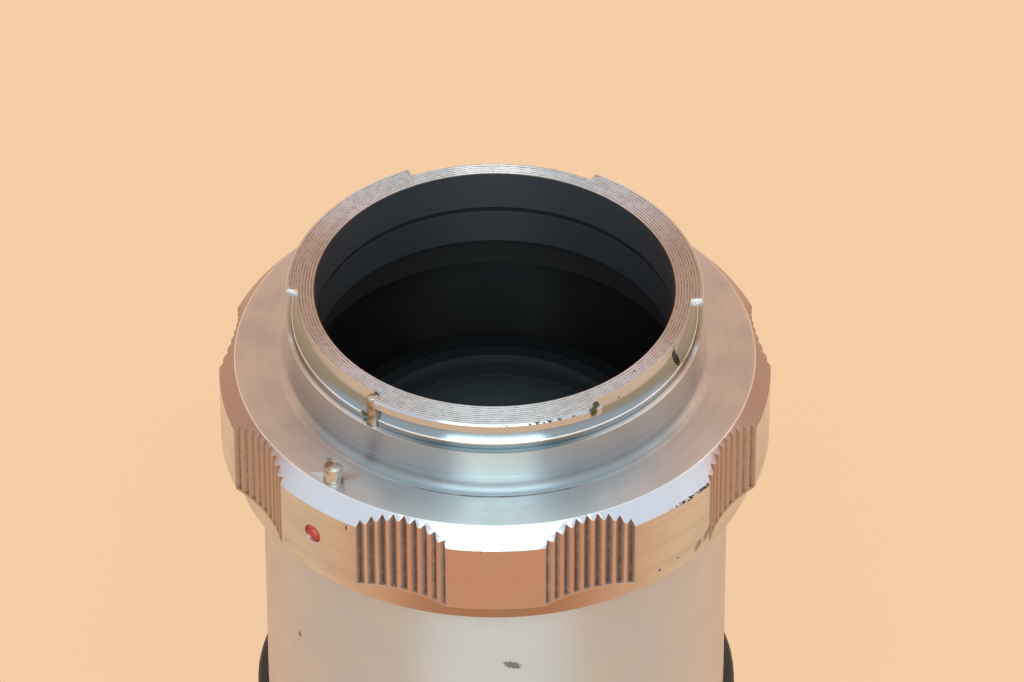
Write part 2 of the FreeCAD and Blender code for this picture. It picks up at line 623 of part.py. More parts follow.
neck_rod = upright_rod("neck_screw_rod", "neck_screw_radius", "neck_screw_place", "neck_screw_angle",
                       "overall_height - neck_screw_drop - neck_screw_length", "neck_screw_length")
neck_slot = document.addObject("Part::Box", "neck_screw_slot")
neck_slot.setExpression("Length", tie("3 * neck_screw_radius"))
neck_slot.setExpression("Width", tie("screw_slot / 2"))
neck_slot.setExpression("Height", tie("screw_slot"))
neck_x, neck_y = around("neck_screw_place", "neck_screw_angle")
neck_slot.setExpression("Placement.Base.x", tie(neck_x + " - 1.5 * neck_screw_radius"))
neck_slot.setExpression("Placement.Base.y", tie(neck_y + " - screw_slot / 4"))
neck_slot.setExpression("Placement.Base.z", tie("overall_height - neck_screw_drop - screw_slot"))
keep("neck_set_screw", less("neck_set_screw", neck_rod, [neck_slot]))

# Mount flange: one turned piece from the collar to the skirt, then milled.
flange = turned("mount_flange", [
    ("barrel_radius + seat_gap", SKIRT_FOOT),
    ("skirt_radius", SKIRT_FOOT),
    ("skirt_radius", GRIP_FOOT),
    ("grip_radius", GRIP_FOOT),
    ("grip_radius", CHAMFER_FOOT),
    ("flange_radius", FLANGE_TOP),
    ("collar_radius + collar_line_step + foot_radius", FLANGE_TOP, "-foot_radius"),
    ("collar_radius + collar_line_step", FLANGE_TOP + " + foot_radius"),
    ("collar_radius + collar_line_step", "overall_height - collar_line_drop"),
    ("collar_radius", "overall_height - collar_line_drop"),
    ("collar_radius", COLLAR_TOP),
    ("ledge_radius + seat_gap", COLLAR_TOP),
    ("ledge_radius + seat_gap", BARREL_TOP),
    ("barrel_radius + seat_gap", BARREL_TOP),
])
CUTTER_PLACE = "(skirt_radius + scallop_cutter)"
FIRST_FIELD = "(-90 + 180 / scallop_count)"
cutter_x, cutter_y = around(CUTTER_PLACE, FIRST_FIELD)
scallop = milled_up(
    flange, "scallop", lambda sketch: draw_circle(sketch, cutter_x, cutter_y, "scallop_cutter"),
    GRIP_FOOT, "grip_drop")
repeated(flange, "scallops", [scallop], "scallop_count")


def draw_field(sketch):
    """The V grooves of one field, each square to the scalloped surface."""
    mouth = 0.15
    middle = (count_of("groove_count") - 1) / 2
    for index in range(count_of("groove_count")):
        swing = "(%s + 180 + (%g) * groove_pitch / scallop_cutter * 180 / pi)" % (
            FIRST_FIELD, index - middle)
        half = "((groove_depth + %s) * groove_width / 2 / groove_depth)" % mouth
        tip_x, tip_y = around("(scallop_cutter + groove_depth)", swing)
        brim_x, brim_y = around("(scallop_cutter - %s)" % mouth, swing)
        side_x, side_y = around(half, swing)
        draw_outline(sketch, [
            ("%s + %s" % (cutter_x, tip_x), "%s + %s" % (cutter_y, tip_y)),
            ("%s + %s - %s" % (cutter_x, brim_x, side_y), "%s + %s + %s" % (cutter_y, brim_y, side_x)),
            ("%s + %s + %s" % (cutter_x, brim_x, side_y), "%s + %s - %s" % (cutter_y, brim_y, side_x)),
        ])


grooves = milled_up(flange, "field_grooves", draw_field, GRIP_FOOT + " + groove_runout", "grip_drop")
repeated(flange, "fields", [grooves], "scallop_count")
drilled(flange, "locating_pin_hole", "locating_pin_place", "locating_pin_angle",
        "locating_pin_radius + seat_gap", FLANGE_TOP + " - locating_pin_depth", "locating_pin_depth + 1")
drilled(flange, "stop_pin_notch", "stop_pin_place", "stop_pin_angle", "stop_pin_radius + seat_gap",
        "overall_height - stop_pin_depth", "stop_pin_depth")
dot_dimple = radial_rod("dot_dimple", "dot_radius", "grip_radius - dot_depth", "dot_depth + 1",
                        "dot_angle", "overall_height - dot_drop")
keep("mount_flange", less("mount_flange", flange, [dot_dimple]))

keep("index_dot", radial_rod("index_dot", "dot_radius - seat_gap", "grip_radius - dot_depth",
                             "dot_paint", "dot_angle", "overall_height - dot_drop"))

# The locating pin's top is worn down on the side of the axis.
pin_rod = upright_rod("locating_pin_rod", "locating_pin_radius", "locating_pin_place", "locating_pin_angle",
                      FLANGE_TOP + " - locating_pin_depth", "locating_pin_depth + locating_pin_rise")
pin_wear = radial_block("locating_pin_wear", "1", "4 * locating_pin_radius", "2 * locating_pin_radius",
                        "locating_pin_place - 2.45 * locating_pin_radius", "locating_pin_angle",
                        FLANGE_TOP + " + locating_pin_rise - locating_pin_flat + 0.5")
keep("locating_pin", less("locating_pin", pin_rod, [pin_wear]))

# Rear barrel: plain tube with a flange at its lower end, which carries the focusing ring.
barrel = turned("rear_barrel_blank", [
    ("barrel_bore", "barrel_end"),
    ("carrier_radius", "barrel_end"),
    ("carrier_radius", "carrier_top"),
    ("barrel_radius", "carrier_top"),
    ("barrel_radius", BARREL_TOP),
    ("barrel_bore", BARREL_TOP),
])
drilled(barrel, "focus_pin_hole", "focus_pin_place", "0", "focus_pin_radius + seat_gap",
        "barrel_end", "focus_pin_depth")
KEY_TURN = "90"
KEY_MIDDLE = "(key_foot + key_length / 2)"
key_pocket = radial_block("key_pocket", "key_length + 2 * seat_gap", "key_width + 2 * seat_gap",
                          "key_seat + 1", "barrel_bore - 1", KEY_TURN, KEY_MIDDLE)
key_screw_hole = radial_rod("key_screw_hole", "key_screw_radius + seat_gap", "barrel_bore - 1",
                            "barrel_radius - barrel_bore + 2", KEY_TURN, KEY_MIDDLE)
keep("rear_barrel", less("rear_barrel", barrel, [key_pocket, key_screw_hole]))

key_block = radial_block("key_block", "key_length", "key_width", "barrel_bore + key_seat - key_tip",
                         "key_tip", KEY_TURN, KEY_MIDDLE)
key_thread = radial_rod("key_thread", "key_screw_radius + seat_gap", "key_tip - 1",
                        "barrel_radius", KEY_TURN, KEY_MIDDLE)
keep("guide_key", less("guide_key", key_block, [key_thread]))
key_rod = radial_rod("key_rod", "key_screw_radius", "key_tip", "barrel_radius - key_tip - seat_gap",
                     KEY_TURN, KEY_MIDDLE)
key_screw_slot = radial_block("key_screw_slot", "screw_slot", "3 * key_screw_radius", "1",
                              "barrel_radius - seat_gap - screw_slot", KEY_TURN, KEY_MIDDLE)
keep("guide_key_screw", less("guide_key_screw", key_rod, [key_screw_slot]))

keep("focus_stop_pin", upright_rod("focus_stop_pin", "focus_pin_radius", "focus_pin_place", "0",
                                   "barrel_end - focus_pin_rise", "focus_pin_rise + focus_pin_depth"))

# Dark index ring, screwed on the barrel.
keep("index_ring", turned("index_ring", [
    ("barrel_radius + seat_gap", "index_ring_foot"),
    ("index_ring_radius - index_ring_bevel", "index_ring_foot"),
    ("index_ring_radius", "index_ring_foot + index_ring_bevel"),
    ("index_ring_radius", "index_ring_top - index_ring_bevel"),
    ("index_ring_radius - index_ring_bevel", "index_ring_top"),
    ("barrel_radius + seat_gap", "index_ring_top"),
]))

# Distance scale ring: its spigot is screwed into the grip and traps the barrel's flange.
keep("distance_scale_ring", turned("distance_scale_ring", [
    ("barrel_radius + running_gap", "spigot_foot"),
    ("spigot_radius", "spigot_foot"),
    ("spigot_radius", "scale_foot"),
    ("scale_radius", "scale_foot"),
    ("scale_radius", "scale_top - index_ring_bevel"),
    ("scale_radius - index_ring_bevel", "scale_top"),
    ("barrel_radius + running_gap", "scale_top"),
]))

# Focusing ring: helicoid bore below, chamber for the barrel's flange above, flutes outside.
focus = turned("focus_ring_blank", [
    ("helicoid_radius + running_gap", "focus_foot"),
    ("focus_radius - focus_bevel", "focus_foot"),
    ("focus_radius", "focus_foot + focus_bevel"),
    ("focus_radius", "scale_foot - focus_bevel"),
    ("focus_radius - focus_bevel", "scale_foot"),
    ("spigot_radius + seat_gap", "scale_foot"),
    ("spigot_radius + seat_gap", "spigot_foot"),
    ("chamber_radius", "spigot_foot"),
    ("chamber_radius", CHAMBER_FLOOR),
    ("helicoid_radius + running_gap", CHAMBER_FLOOR),
])
fluted(focus, "focus_flutes", "focus_radius", "focus_flute_depth", "focus_flute_width",
       "focus_flute_count", "focus_foot + focus_lip", "focus_length - 2 * focus_lip")
# The groove holds the barrel's stop pin. Its two ends end the ring's turn.
GROOVE_HALF = "(focus_pin_radius + focus_groove_play)"
GROOVE_END = "((focus_pin_radius + focus_groove_play) / focus_pin_place * 180 / pi)"
groove_section = new_sketch(focus, "focus_groove_section", "XZ_Plane")
draw_outline(groove_section, [
    ("focus_pin_place - " + GROOVE_HALF, CHAMBER_FLOOR + " - focus_pin_rise"),
    ("focus_pin_place + " + GROOVE_HALF, CHAMBER_FLOOR + " - focus_pin_rise"),
    ("focus_pin_place + " + GROOVE_HALF, CHAMBER_FLOOR + " + 0.2"),
    ("focus_pin_place - " + GROOVE_HALF, CHAMBER_FLOOR + " + 0.2"),
])
groove_start = "(-focus_travel_angle - %s)" % GROOVE_END
groove_section.AttachmentOffset = FreeCAD.Placement(
    FreeCAD.Vector(), FreeCAD.Rotation(FreeCAD.Vector(0, 1, 0), value(groove_start)))
groove_section.setExpression("AttachmentOffset.Rotation.Angle", tie(groove_start + " * 1deg"))
whole_ring = focus.Shape.Volume
focus_groove = focus.newObject("PartDesign::Groove", "focus_groove")
focus_groove.Profile = groove_section
focus_groove.ReferenceAxis = (groove_section, ["V_Axis"])
focus_groove.setExpression("Angle", tie("(focus_travel_angle + 2 * %s) * 1deg" % GROOVE_END))
checked_cut(focus, focus_groove, whole_ring)
keep("focus_ring", focus)

# Front barrel: journal, shoulder, helicoid and guide sleeve in one turned tube.
front = turned("front_barrel_blank", [
    ("front_bore", "journal_foot"),
    ("journal_radius", "journal_foot"),
    ("journal_radius", "shoulder_foot"),
    ("shoulder_radius - shoulder_bevel", "shoulder_foot"),
    ("shoulder_radius", "shoulder_foot + shoulder_bevel"),
    ("shoulder_radius", SHOULDER_TOP + " - shoulder_bevel"),
    ("shoulder_radius - shoulder_bevel", SHOULDER_TOP),
    ("helicoid_radius", SHOULDER_TOP),
    ("helicoid_radius", "helicoid_top"),
    ("sleeve_radius", "helicoid_top"),
    ("sleeve_radius", "sleeve_top"),
    ("tube_bore", "sleeve_top"),
    ("tube_bore", "iris_roof"),
    ("front_bore", "iris_roof"),
])
# The drive pin passes through this slot from the aperture ring to the iris.
slot_half = "(drive_pin_radius + drive_slot_play)"
slot_end = "(%s / front_bore * 180 / pi)" % slot_half
slot_section = new_sketch(front, "drive_slot_section", "XZ_Plane")
draw_outline(slot_section, [
    ("front_bore - 0.5", DRIVE_PIN_HEIGHT + " - " + slot_half),
    ("journal_radius + 0.5", DRIVE_PIN_HEIGHT + " - " + slot_half),
    ("journal_radius + 0.5", DRIVE_PIN_HEIGHT + " + " + slot_half),
    ("front_bore - 0.5", DRIVE_PIN_HEIGHT + " + " + slot_half),
])
slot_start = "(drive_pin_angle - %s)" % slot_end
slot_section.AttachmentOffset = FreeCAD.Placement(
    FreeCAD.Vector(), FreeCAD.Rotation(FreeCAD.Vector(0, 1, 0), value(slot_start)))
slot_section.setExpression("AttachmentOffset.Rotation.Angle", tie(slot_start + " * 1deg"))
whole_tube = front.Shape.Volume
drive_slot = front.newObject("PartDesign::Groove", "drive_slot")
drive_slot.Profile = slot_section
drive_slot.ReferenceAxis = (slot_section, ["V_Axis"])
drive_slot.setExpression("Angle", tie("(ring_travel_angle + 2 * %s) * 1deg" % slot_end))
checked_cut(front, drive_slot, whole_tube)
key_slot = radial_block("key_slot", "sleeve_top - key_foot + 1", "key_width + 2 * key_play", "3",
                        "key_slot_floor", KEY_TURN, "(sleeve_top + key_foot) / 2")
keep("front_barrel", less("front_barrel", front, [key_slot]))

# Filter ring, screwed on the front end: the object stands on it.
keep("filter_ring", turned("filter_ring", [
    ("filter_thread_radius", "0"),
    ("bezel_radius - bezel_bevel", "0"),
    ("bezel_radius", "bezel_bevel"),
    ("bezel_radius", "bezel_grip_length"),
    ("bezel_waist", "bezel_grip_length"),
    ("bezel_waist", "bezel_length - bezel_bevel"),
    ("bezel_waist - bezel_bevel", "bezel_length"),
    ("journal_radius + seat_gap", "bezel_length"),
    ("journal_radius + seat_gap", "filter_thread_length"),
    ("filter_thread_radius", "filter_thread_length"),
]))

# Preset ring.
preset = turned("preset_ring_blank", [
    (RING_BORE, "preset_foot"),
    ("preset_radius - ring_bevel", "preset_foot"),
    ("preset_radius", "preset_foot + ring_bevel"),
    ("preset_radius", PRESET_TOP + " - ring_bevel"),
    ("preset_radius - ring_bevel", PRESET_TOP),
    (RING_BORE, PRESET_TOP),
])
fluted(preset, "preset_flutes", "preset_radius", "ring_flute_depth", "ring_flute_width",
       "ring_flute_count", "preset_foot + 2 * ring_bevel", "preset_length - 4 * ring_bevel")
keep("preset_ring", preset)

# Aperture ring: scale above, fluted grip below, a hole for the drive pin.
aperture = turned("aperture_ring_blank", [
    (RING_BORE, "aperture_foot"),
    ("aperture_grip_radius - ring_bevel", "aperture_foot"),
    ("aperture_grip_radius", "aperture_foot + ring_bevel"),
    ("aperture_grip_radius", "aperture_foot + aperture_grip_length"),
    ("aperture_radius", "aperture_foot + aperture_grip_length"),
    ("aperture_radius", APERTURE_TOP + " - ring_bevel"),
    ("aperture_radius - ring_bevel", APERTURE_TOP),
    (RING_BORE, APERTURE_TOP),
])
fluted(aperture, "aperture_flutes", "aperture_grip_radius", "ring_flute_depth", "ring_flute_width",
       "ring_flute_count", "aperture_foot + 2 * ring_bevel", "aperture_grip_length - 3 * ring_bevel")
pin_bore = radial_rod("drive_pin_bore", "drive_pin_radius + seat_gap", "journal_radius - 1",
                      "aperture_radius - journal_radius + 2", "drive_pin_angle", DRIVE_PIN_HEIGHT)
keep("aperture_ring", less("aperture_ring", aperture, [pin_bore]))

drive_rod = radial_rod("drive_rod", "drive_pin_radius", "drive_pin_tip",
                       "aperture_radius - drive_pin_tip - 0.1", "drive_pin_angle", DRIVE_PIN_HEIGHT)
drive_rod_slot = radial_block("drive_rod_slot", "screw_slot", "3 * drive_pin_radius", "1",
                              "aperture_radius - 0.1 - screw_slot", "drive_pin_angle", DRIVE_PIN_HEIGHT)
keep("iris_drive_pin", less("iris_drive_pin", drive_rod, [drive_rod_slot]))

# Iris seat plate, with a hole for each blade's pivot.
seat = turned("iris_seat", [
    ("seat_bore", "cell_top"),
    ("front_bore - seat_gap", "cell_top"),
    ("front_bore - seat_gap", "seat_top"),
    ("seat_bore", "seat_top"),
])
pivot_hole = drilled(
    seat, "pivot_hole", "pivot_place", "0", "stud_radius + stud_play", "cell_top", "seat_thickness")
repeated(seat, "pivot_holes", [pivot_hole], "blade_count")
keep("iris_seat", seat)

# Iris drive ring. Each slot is the path that a blade's stud takes in the turning ring, so that
# the blade swings in proportion to the ring.
STUD_START = "(2 * asin(stud_reach / 2 / pivot_place) / 1deg)"


def stud_path(share):
    """Where a blade's drive stud is in the drive ring when the ring has made a share of its turn."""
    pivot = FreeCAD.Vector(value("pivot_place"), 0, 0)
    start_angle = 2 * math.asin(value("stud_reach") / 2 / pivot.x)
    stud = FreeCAD.Vector(pivot.x * math.cos(start_angle), pivot.x * math.sin(start_angle), 0)
    swung = FreeCAD.Rotation(FreeCAD.Vector(0, 0, 1), share * value("blade_swing_angle"))
    turned_back = FreeCAD.Rotation(FreeCAD.Vector(0, 0, 1), -share * value("ring_travel_angle"))
    return turned_back.multVec(pivot.add(swung.multVec(stud.sub(pivot))))


def cam_slot(half_width, foot, length):
    """A slot along the stud's path, with round ends."""
    up = FreeCAD.Vector(0, 0, 1)
    path = Part.Arc(stud_path(0), stud_path(0.5), stud_path(1)).toShape()
    centre = path.Curve.Center
    sides = []
    for radius in (path.Curve.Radius + half_width, path.Curve.Radius - half_width):
        spokes = [stud_path(share).sub(centre).normalize() for share in (0, 0.5, 1)]
        sides.append([centre.add(spoke.multiply(radius)) for spoke in spokes])
    tips = []
    for share, sign in ((0, 1), (1, -1)):
        spoke = stud_path(share).sub(centre).normalize()
        ahead = up.cross(spoke).multiply(sign * half_width)
        along = stud_path(0.5).sub(stud_path(share))
        if along.dot(ahead) > 0:
            ahead = ahead.multiply(-1)
        tips.append(stud_path(share).add(ahead))
    outer, inner = sides
    edges = [
        Part.Arc(outer[0], outer[1], outer[2]).toShape(),
        Part.Arc(outer[2], tips[1], inner[2]).toShape(),
        Part.Arc(inner[2], inner[1], inner[0]).toShape(),
        Part.Arc(inner[0], tips[0], outer[0]).toShape(),
    ]
    slot = Part.Face(Part.Wire(edges)).extrude(up.multiply(length))
    slot.translate(FreeCAD.Vector(0, 0, foot))
    return slot


drive_foot = value("drive_ring_foot")
drive_thickness = value("drive_ring_thickness")
drive_place = FreeCAD.Vector(0, 0, drive_foot)
drive_shape = Part.makeCylinder(value("front_bore - running_gap"), drive_thickness, drive_place)
drive_shape = drive_shape.cut(Part.makeCylinder(value("seat_bore"), drive_thickness, drive_place))
one_slot = cam_slot(value("stud_radius + stud_play"), drive_foot, drive_thickness)
for index in range(count_of("blade_count")):
    copy = one_slot.copy()
    copy.rotate(FreeCAD.Vector(), FreeCAD.Vector(0, 0, 1), index * 360 / count_of("blade_count"))
    drive_shape = drive_shape.cut(copy)
drive_ring_blank = document.addObject("Part::Feature", "drive_ring_blank")
drive_ring_blank.Shape = drive_shape
pin_seat = radial_rod("drive_pin_seat", "drive_pin_radius + seat_gap", "drive_pin_tip",
                      "front_bore - drive_pin_tip + 1", "drive_pin_angle", DRIVE_PIN_HEIGHT)
keep("iris_drive_ring", less("iris_drive_ring", drive_ring_blank, [pin_seat]))

# Iris blades: each lies in a layer of its own, with a pivot stud below and a drive stud above.
for index in range(count_of("blade_count")):
    name = "iris_blade_%d" % (index + 1)
    blade = new_body(name)
    layer = "(seat_top + %d * blade_layer + blade_layer / 2)" % index
    pad_edge = "(pivot_place + blade_pad)"
    stud_edge_x, stud_edge_y = around(pad_edge, STUD_START)
    shoulder_x, shoulder_y = around("blade_outer", STUD_START + " + blade_shoulder_angle")
    tip_x, tip_y = around("blade_outer", "blade_span_angle")
    inner_tip_x, inner_tip_y = around("iris_radius", "blade_span_angle")
    leaf_outline = new_sketch(blade, name + "_outline", "XY_Plane", layer)
    draw_outline(leaf_outline, [
        (pad_edge, "0", pad_edge),
        (stud_edge_x, stud_edge_y),
        (shoulder_x, shoulder_y, "blade_outer"),
        (tip_x, tip_y, "(blade_outer - iris_radius) * end_rounding_ratio"),
        (inner_tip_x, inner_tip_y, "-iris_radius"),
        ("iris_radius", "0", "(%s - iris_radius) * end_rounding_ratio" % pad_edge),
    ])
    leaf = blade.newObject("PartDesign::Pad", name + "_leaf")
    leaf.Profile = leaf_outline
    leaf.setExpression("Length", tie("blade_thickness"))
    pivot_outline = new_sketch(blade, name + "_pivot_outline", "XY_Plane", "cell_top + 0.1")
    draw_circle(pivot_outline, "pivot_place", "0", "stud_radius")
    pivot = blade.newObject("PartDesign::Pad", name + "_pivot")
    pivot.Profile = pivot_outline
    pivot.setExpression("Length", tie(layer + " - cell_top - 0.1"))
    stud_outline = new_sketch(blade, name + "_stud_outline", "XY_Plane", layer)
    stud_x, stud_y = around("pivot_place", STUD_START)
    draw_circle(stud_outline, stud_x, stud_y, "stud_radius")
    stud = blade.newObject("PartDesign::Pad", name + "_stud")
    stud.Profile = stud_outline
    stud.setExpression("Length", tie("drive_ring_top - %s - 0.1" % layer))
    blade.setExpression("Placement", tie(
        "placement(vector(0; 0; 0); rotation(%d * 360deg / blade_count; 0; 0))" % index))
    document.recompute()
    keep(name, blade)

# Front cell with the first two elements.
keep("front_cell", turned("front_cell", [
    ("element_radius + seat_gap", "cell_foot"),
    ("cell_flange_radius", "cell_foot"),
    ("cell_flange_radius", "journal_foot"),
    ("front_bore - seat_gap", "journal_foot"),
    ("front_bore - seat_gap", "cell_top"),
    ("cell_lip_radius", "cell_top"),
    ("cell_lip_radius", CELL_SHOULDER),
    ("element_radius + seat_gap", CELL_SHOULDER),
]))


def sag(curve, radius="element_radius"):
    """How deep a surface of a curve radius is at the element's edge."""
    return "(%s - sqrt(%s * %s - %s * %s))" % (curve, curve, curve, radius, radius)


keep("front_element", turned("front_element", [
    ("0", "element_foot - " + sag("first_front_curve"), "first_front_curve"),
    ("element_radius", "element_foot"),
    ("element_radius", FIRST_TOP),
    ("0", FIRST_TOP),
]))
keep("element_spacer", turned("element_spacer", [
    ("spacer_bore", FIRST_TOP),
    ("element_radius", FIRST_TOP),
    ("element_radius", SECOND_FOOT),
    ("spacer_bore", SECOND_FOOT),
]))
keep("second_element", turned("second_element", [
    ("0", SECOND_FOOT),
    ("element_radius", SECOND_FOOT),
    ("element_radius", CELL_SHOULDER, "-second_rear_curve"),
    ("0", CELL_SHOULDER + " - " + sag("second_rear_curve")),
]))
# The ring bears on the curved surface with its inner edge.
FRONT_RING_TOP = "(element_foot - %s + %s - seat_gap)" % (sag("first_front_curve"),
                                                         sag("first_front_curve", "front_ring_bore"))
keep("front_retaining_ring", turned("front_retaining_ring", [
    ("front_ring_bore", FRONT_RING_TOP + " - front_ring_length"),
    ("element_radius", FRONT_RING_TOP + " - front_ring_length"),
    ("element_radius", FRONT_RING_TOP),
    ("front_ring_bore", FRONT_RING_TOP),
]))

# Middle cell behind the iris.
keep("middle_cell", turned("middle_cell", [
    ("middle_lip_radius", "middle_foot"),
    ("tube_bore - seat_gap", "middle_foot"),
    ("tube_bore - seat_gap", "middle_foot + middle_length"),
    ("third_radius + seat_gap", "middle_foot + middle_length"),
    ("third_radius + seat_gap", THIRD_FOOT),
    ("middle_lip_radius", THIRD_FOOT),
]))
THIRD_TOP = "(middle_foot + middle_lip + third_edge)"
keep("third_element", turned("third_element", [
    ("0", THIRD_FOOT),
    ("third_radius", THIRD_FOOT),
    ("third_radius", THIRD_TOP, "-third_curve"),
    ("0", THIRD_TOP + " - " + sag("third_curve", "third_radius")),
]))
keep("middle_retaining_ring", turned("middle_retaining_ring", [
    ("middle_lip_radius", THIRD_TOP),
    ("third_radius", THIRD_TOP),
    ("third_radius", THIRD_TOP + " + middle_ring_length"),
    ("middle_lip_radius", THIRD_TOP + " + middle_ring_length"),
]))

# Rear lens tube, screwed into the guide sleeve, with the rear element deep in the throat.
keep("rear_lens_tube", turned("rear_lens_tube", [
    ("rear_tube_bore", "rear_tube_foot"),
    ("tube_bore - seat_gap", "rear_tube_foot"),
    ("tube_bore - seat_gap", "rear_tube_foot + rear_thread_length"),
    ("rear_tube_radius", "rear_tube_foot + rear_thread_length"),
    ("rear_tube_radius", "rear_tube_top"),
    ("rear_radius + seat_gap", "rear_tube_top"),
    ("rear_radius + seat_gap", "rear_seat"),
    ("rear_lip_radius", "rear_seat"),
    ("rear_lip_radius", "rear_seat - rear_lip"),
    ("rear_tube_bore", "rear_seat - rear_lip"),
]))
keep("rear_element", turned("rear_element", [
    ("0", "rear_seat"),
    ("rear_radius", "rear_seat"),
    ("rear_radius", REAR_EDGE_TOP, "rear_curve"),
    ("0", REAR_EDGE_TOP + " + " + sag("rear_curve", "rear_radius")),
]))
REAR_RING_FOOT = "(%s + %s - %s + seat_gap)" % (REAR_EDGE_TOP, sag("rear_curve", "rear_radius"),
                                                sag("rear_curve", "rear_ring_bore"))
keep("rear_retaining_ring", turned("rear_retaining_ring", [
    ("rear_ring_bore", REAR_RING_FOOT),
    ("rear_radius", REAR_RING_FOOT),
    ("rear_radius", REAR_RING_FOOT + " + rear_ring_length"),
    ("rear_ring_bore", REAR_RING_FOOT + " + rear_ring_length"),
]))

# Everything is built. Each object is checked before anything is written.
document.recompute()
for item in document.Objects:
    if "Invalid" in item.State or "Error" in item.State:
        raise RuntimeError("%s failed: %s" % (item.Label, item.State))
for name, piece in nodes.items():
    if piece.Shape.isNull() or not piece.Shape.isValid() or not piece.Shape.Solids:
        raise RuntimeError(name + " has no valid solid")
os.makedirs("parts", exist_ok=True)
for name, piece in nodes.items():
    piece.Shape.exportStep("parts/%s.step" % name)
    print("%-24s %9.1f mm3  %d solid(s)" % (name, piece.Shape.Volume, len(piece.Shape.Solids)))
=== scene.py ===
# %% [markdown]
# # A preset lens, standing with its mount up
# The metal parts of this lens come ready made, as solids in metres with the optical axis on Z
# and the front rim at height 0. This lesson gives them their finishes, adds what a lathe and an
# engraving machine leave on them, and lights them for the camera.

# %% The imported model
import math

import bpy
from mathutils import Matrix, Vector


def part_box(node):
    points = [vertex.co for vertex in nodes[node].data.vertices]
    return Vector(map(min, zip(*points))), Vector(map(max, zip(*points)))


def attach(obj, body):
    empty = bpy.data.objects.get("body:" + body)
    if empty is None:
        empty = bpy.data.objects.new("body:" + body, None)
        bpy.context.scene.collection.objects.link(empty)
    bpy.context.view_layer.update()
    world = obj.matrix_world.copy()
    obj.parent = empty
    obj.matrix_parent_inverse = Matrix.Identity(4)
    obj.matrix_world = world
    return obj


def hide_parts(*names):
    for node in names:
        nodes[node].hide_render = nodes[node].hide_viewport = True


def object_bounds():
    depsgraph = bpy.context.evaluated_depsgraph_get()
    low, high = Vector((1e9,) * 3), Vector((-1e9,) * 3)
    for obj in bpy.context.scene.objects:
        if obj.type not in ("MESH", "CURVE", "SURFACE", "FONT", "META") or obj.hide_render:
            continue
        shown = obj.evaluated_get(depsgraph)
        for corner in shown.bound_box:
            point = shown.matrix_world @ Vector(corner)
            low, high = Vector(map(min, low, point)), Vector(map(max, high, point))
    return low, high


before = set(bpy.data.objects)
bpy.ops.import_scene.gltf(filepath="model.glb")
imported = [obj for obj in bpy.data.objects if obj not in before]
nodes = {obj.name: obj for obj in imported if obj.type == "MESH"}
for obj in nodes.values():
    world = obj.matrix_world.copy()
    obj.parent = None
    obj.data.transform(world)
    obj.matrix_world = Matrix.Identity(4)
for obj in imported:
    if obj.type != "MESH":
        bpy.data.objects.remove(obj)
cad_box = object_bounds()
print("solids:", len(nodes), "height in mm:", round(cad_box[1].z * 1000, 2))

# %% [markdown]
# ## The camera
# The photograph looks down on the mount at about 40 degrees through a long lens. The camera's
# place and angle were fitted to the round edges of the mount, so they are plain numbers here.
# A ray through a pixel gives the place of a mark: it is cut with a plane or with a turned surface.

# %% Camera
MM = 0.001
PICTURE_WIDTH, PICTURE_HEIGHT = 1024, 682
FOCAL_PIXELS = 8000.0
SENSOR_WIDTH = 36.0
CAMERA_PLACE = Vector((0.0, -0.597697, 0.620470))
CAMERA_PITCH = 0.705699315
CAMERA_SWING = 0.00280790
CAMERA_ROLL = -0.00171341817

camera_ahead = Vector((
    math.sin(CAMERA_SWING) * math.cos(CAMERA_PITCH),
    math.cos(CAMERA_SWING) * math.cos(CAMERA_PITCH),
    -math.sin(CAMERA_PITCH)))
level_right = camera_ahead.cross(Vector((0, 0, 1))).normalized()
level_up = level_right.cross(camera_ahead)
camera_right = level_right * math.cos(CAMERA_ROLL) + level_up * math.sin(CAMERA_ROLL)
camera_up = level_up * math.cos(CAMERA_ROLL) - level_right * math.sin(CAMERA_ROLL)

camera_data = bpy.data.cameras.new("camera")
camera_data.sensor_width = SENSOR_WIDTH
camera_data.lens = FOCAL_PIXELS * SENSOR_WIDTH / PICTURE_WIDTH
camera_data.clip_start = 0.01
camera_data.clip_end = 20.0
camera = bpy.data.objects.new("camera", camera_data)
camera.matrix_world = Matrix((
    (camera_right.x, camera_up.x, -camera_ahead.x, CAMERA_PLACE.x),
    (camera_right.y, camera_up.y, -camera_ahead.y, CAMERA_PLACE.y),
    (camera_right.z, camera_up.z, -camera_ahead.z, CAMERA_PLACE.z),
    (0, 0, 0, 1)))
bpy.context.scene.collection.objects.link(camera)
bpy.context.scene.camera = camera
print("focal length in mm:", camera_data.lens)


# %% Places seen in the picture
def pixel_ray(pixel):
    """The direction in which the camera sees a pixel, counted from the top left corner."""
    across = (pixel[0] - PICTURE_WIDTH / 2) / FOCAL_PIXELS
    down = (pixel[1] - PICTURE_HEIGHT / 2) / FOCAL_PIXELS
    return camera_ahead + camera_right * across - camera_up * down


def point_at_height(pixel, height):
    """Where a pixel meets the level plane at a height."""
    ray = pixel_ray(pixel)
    return CAMERA_PLACE + ray * ((height - CAMERA_PLACE.z) / ray.z)


def point_on_tube(pixel, radius):
    """Where a pixel first meets a tube round the axis."""
    ray = pixel_ray(pixel)
    a = ray.x ** 2 + ray.y ** 2
    b = CAMERA_PLACE.x * ray.x + CAMERA_PLACE.y * ray.y
    c = CAMERA_PLACE.x ** 2 + CAMERA_PLACE.y ** 2 - radius ** 2
    return CAMERA_PLACE + ray * ((-b - math.sqrt(b * b - a * c)) / a)


print("red dot:", [round(n / MM, 2) for n in point_on_tube((312, 534), 27.1 * MM)])

# %% [markdown]
# ## Sizes that the finishes need
# A finish often starts or ends at an edge of the metal: black paint only inside the throat, dirt
# only at the bottom of the grip's grooves. Those edges are named once. All numbers are in
# millimetres, and heights count down from the top of the mount.

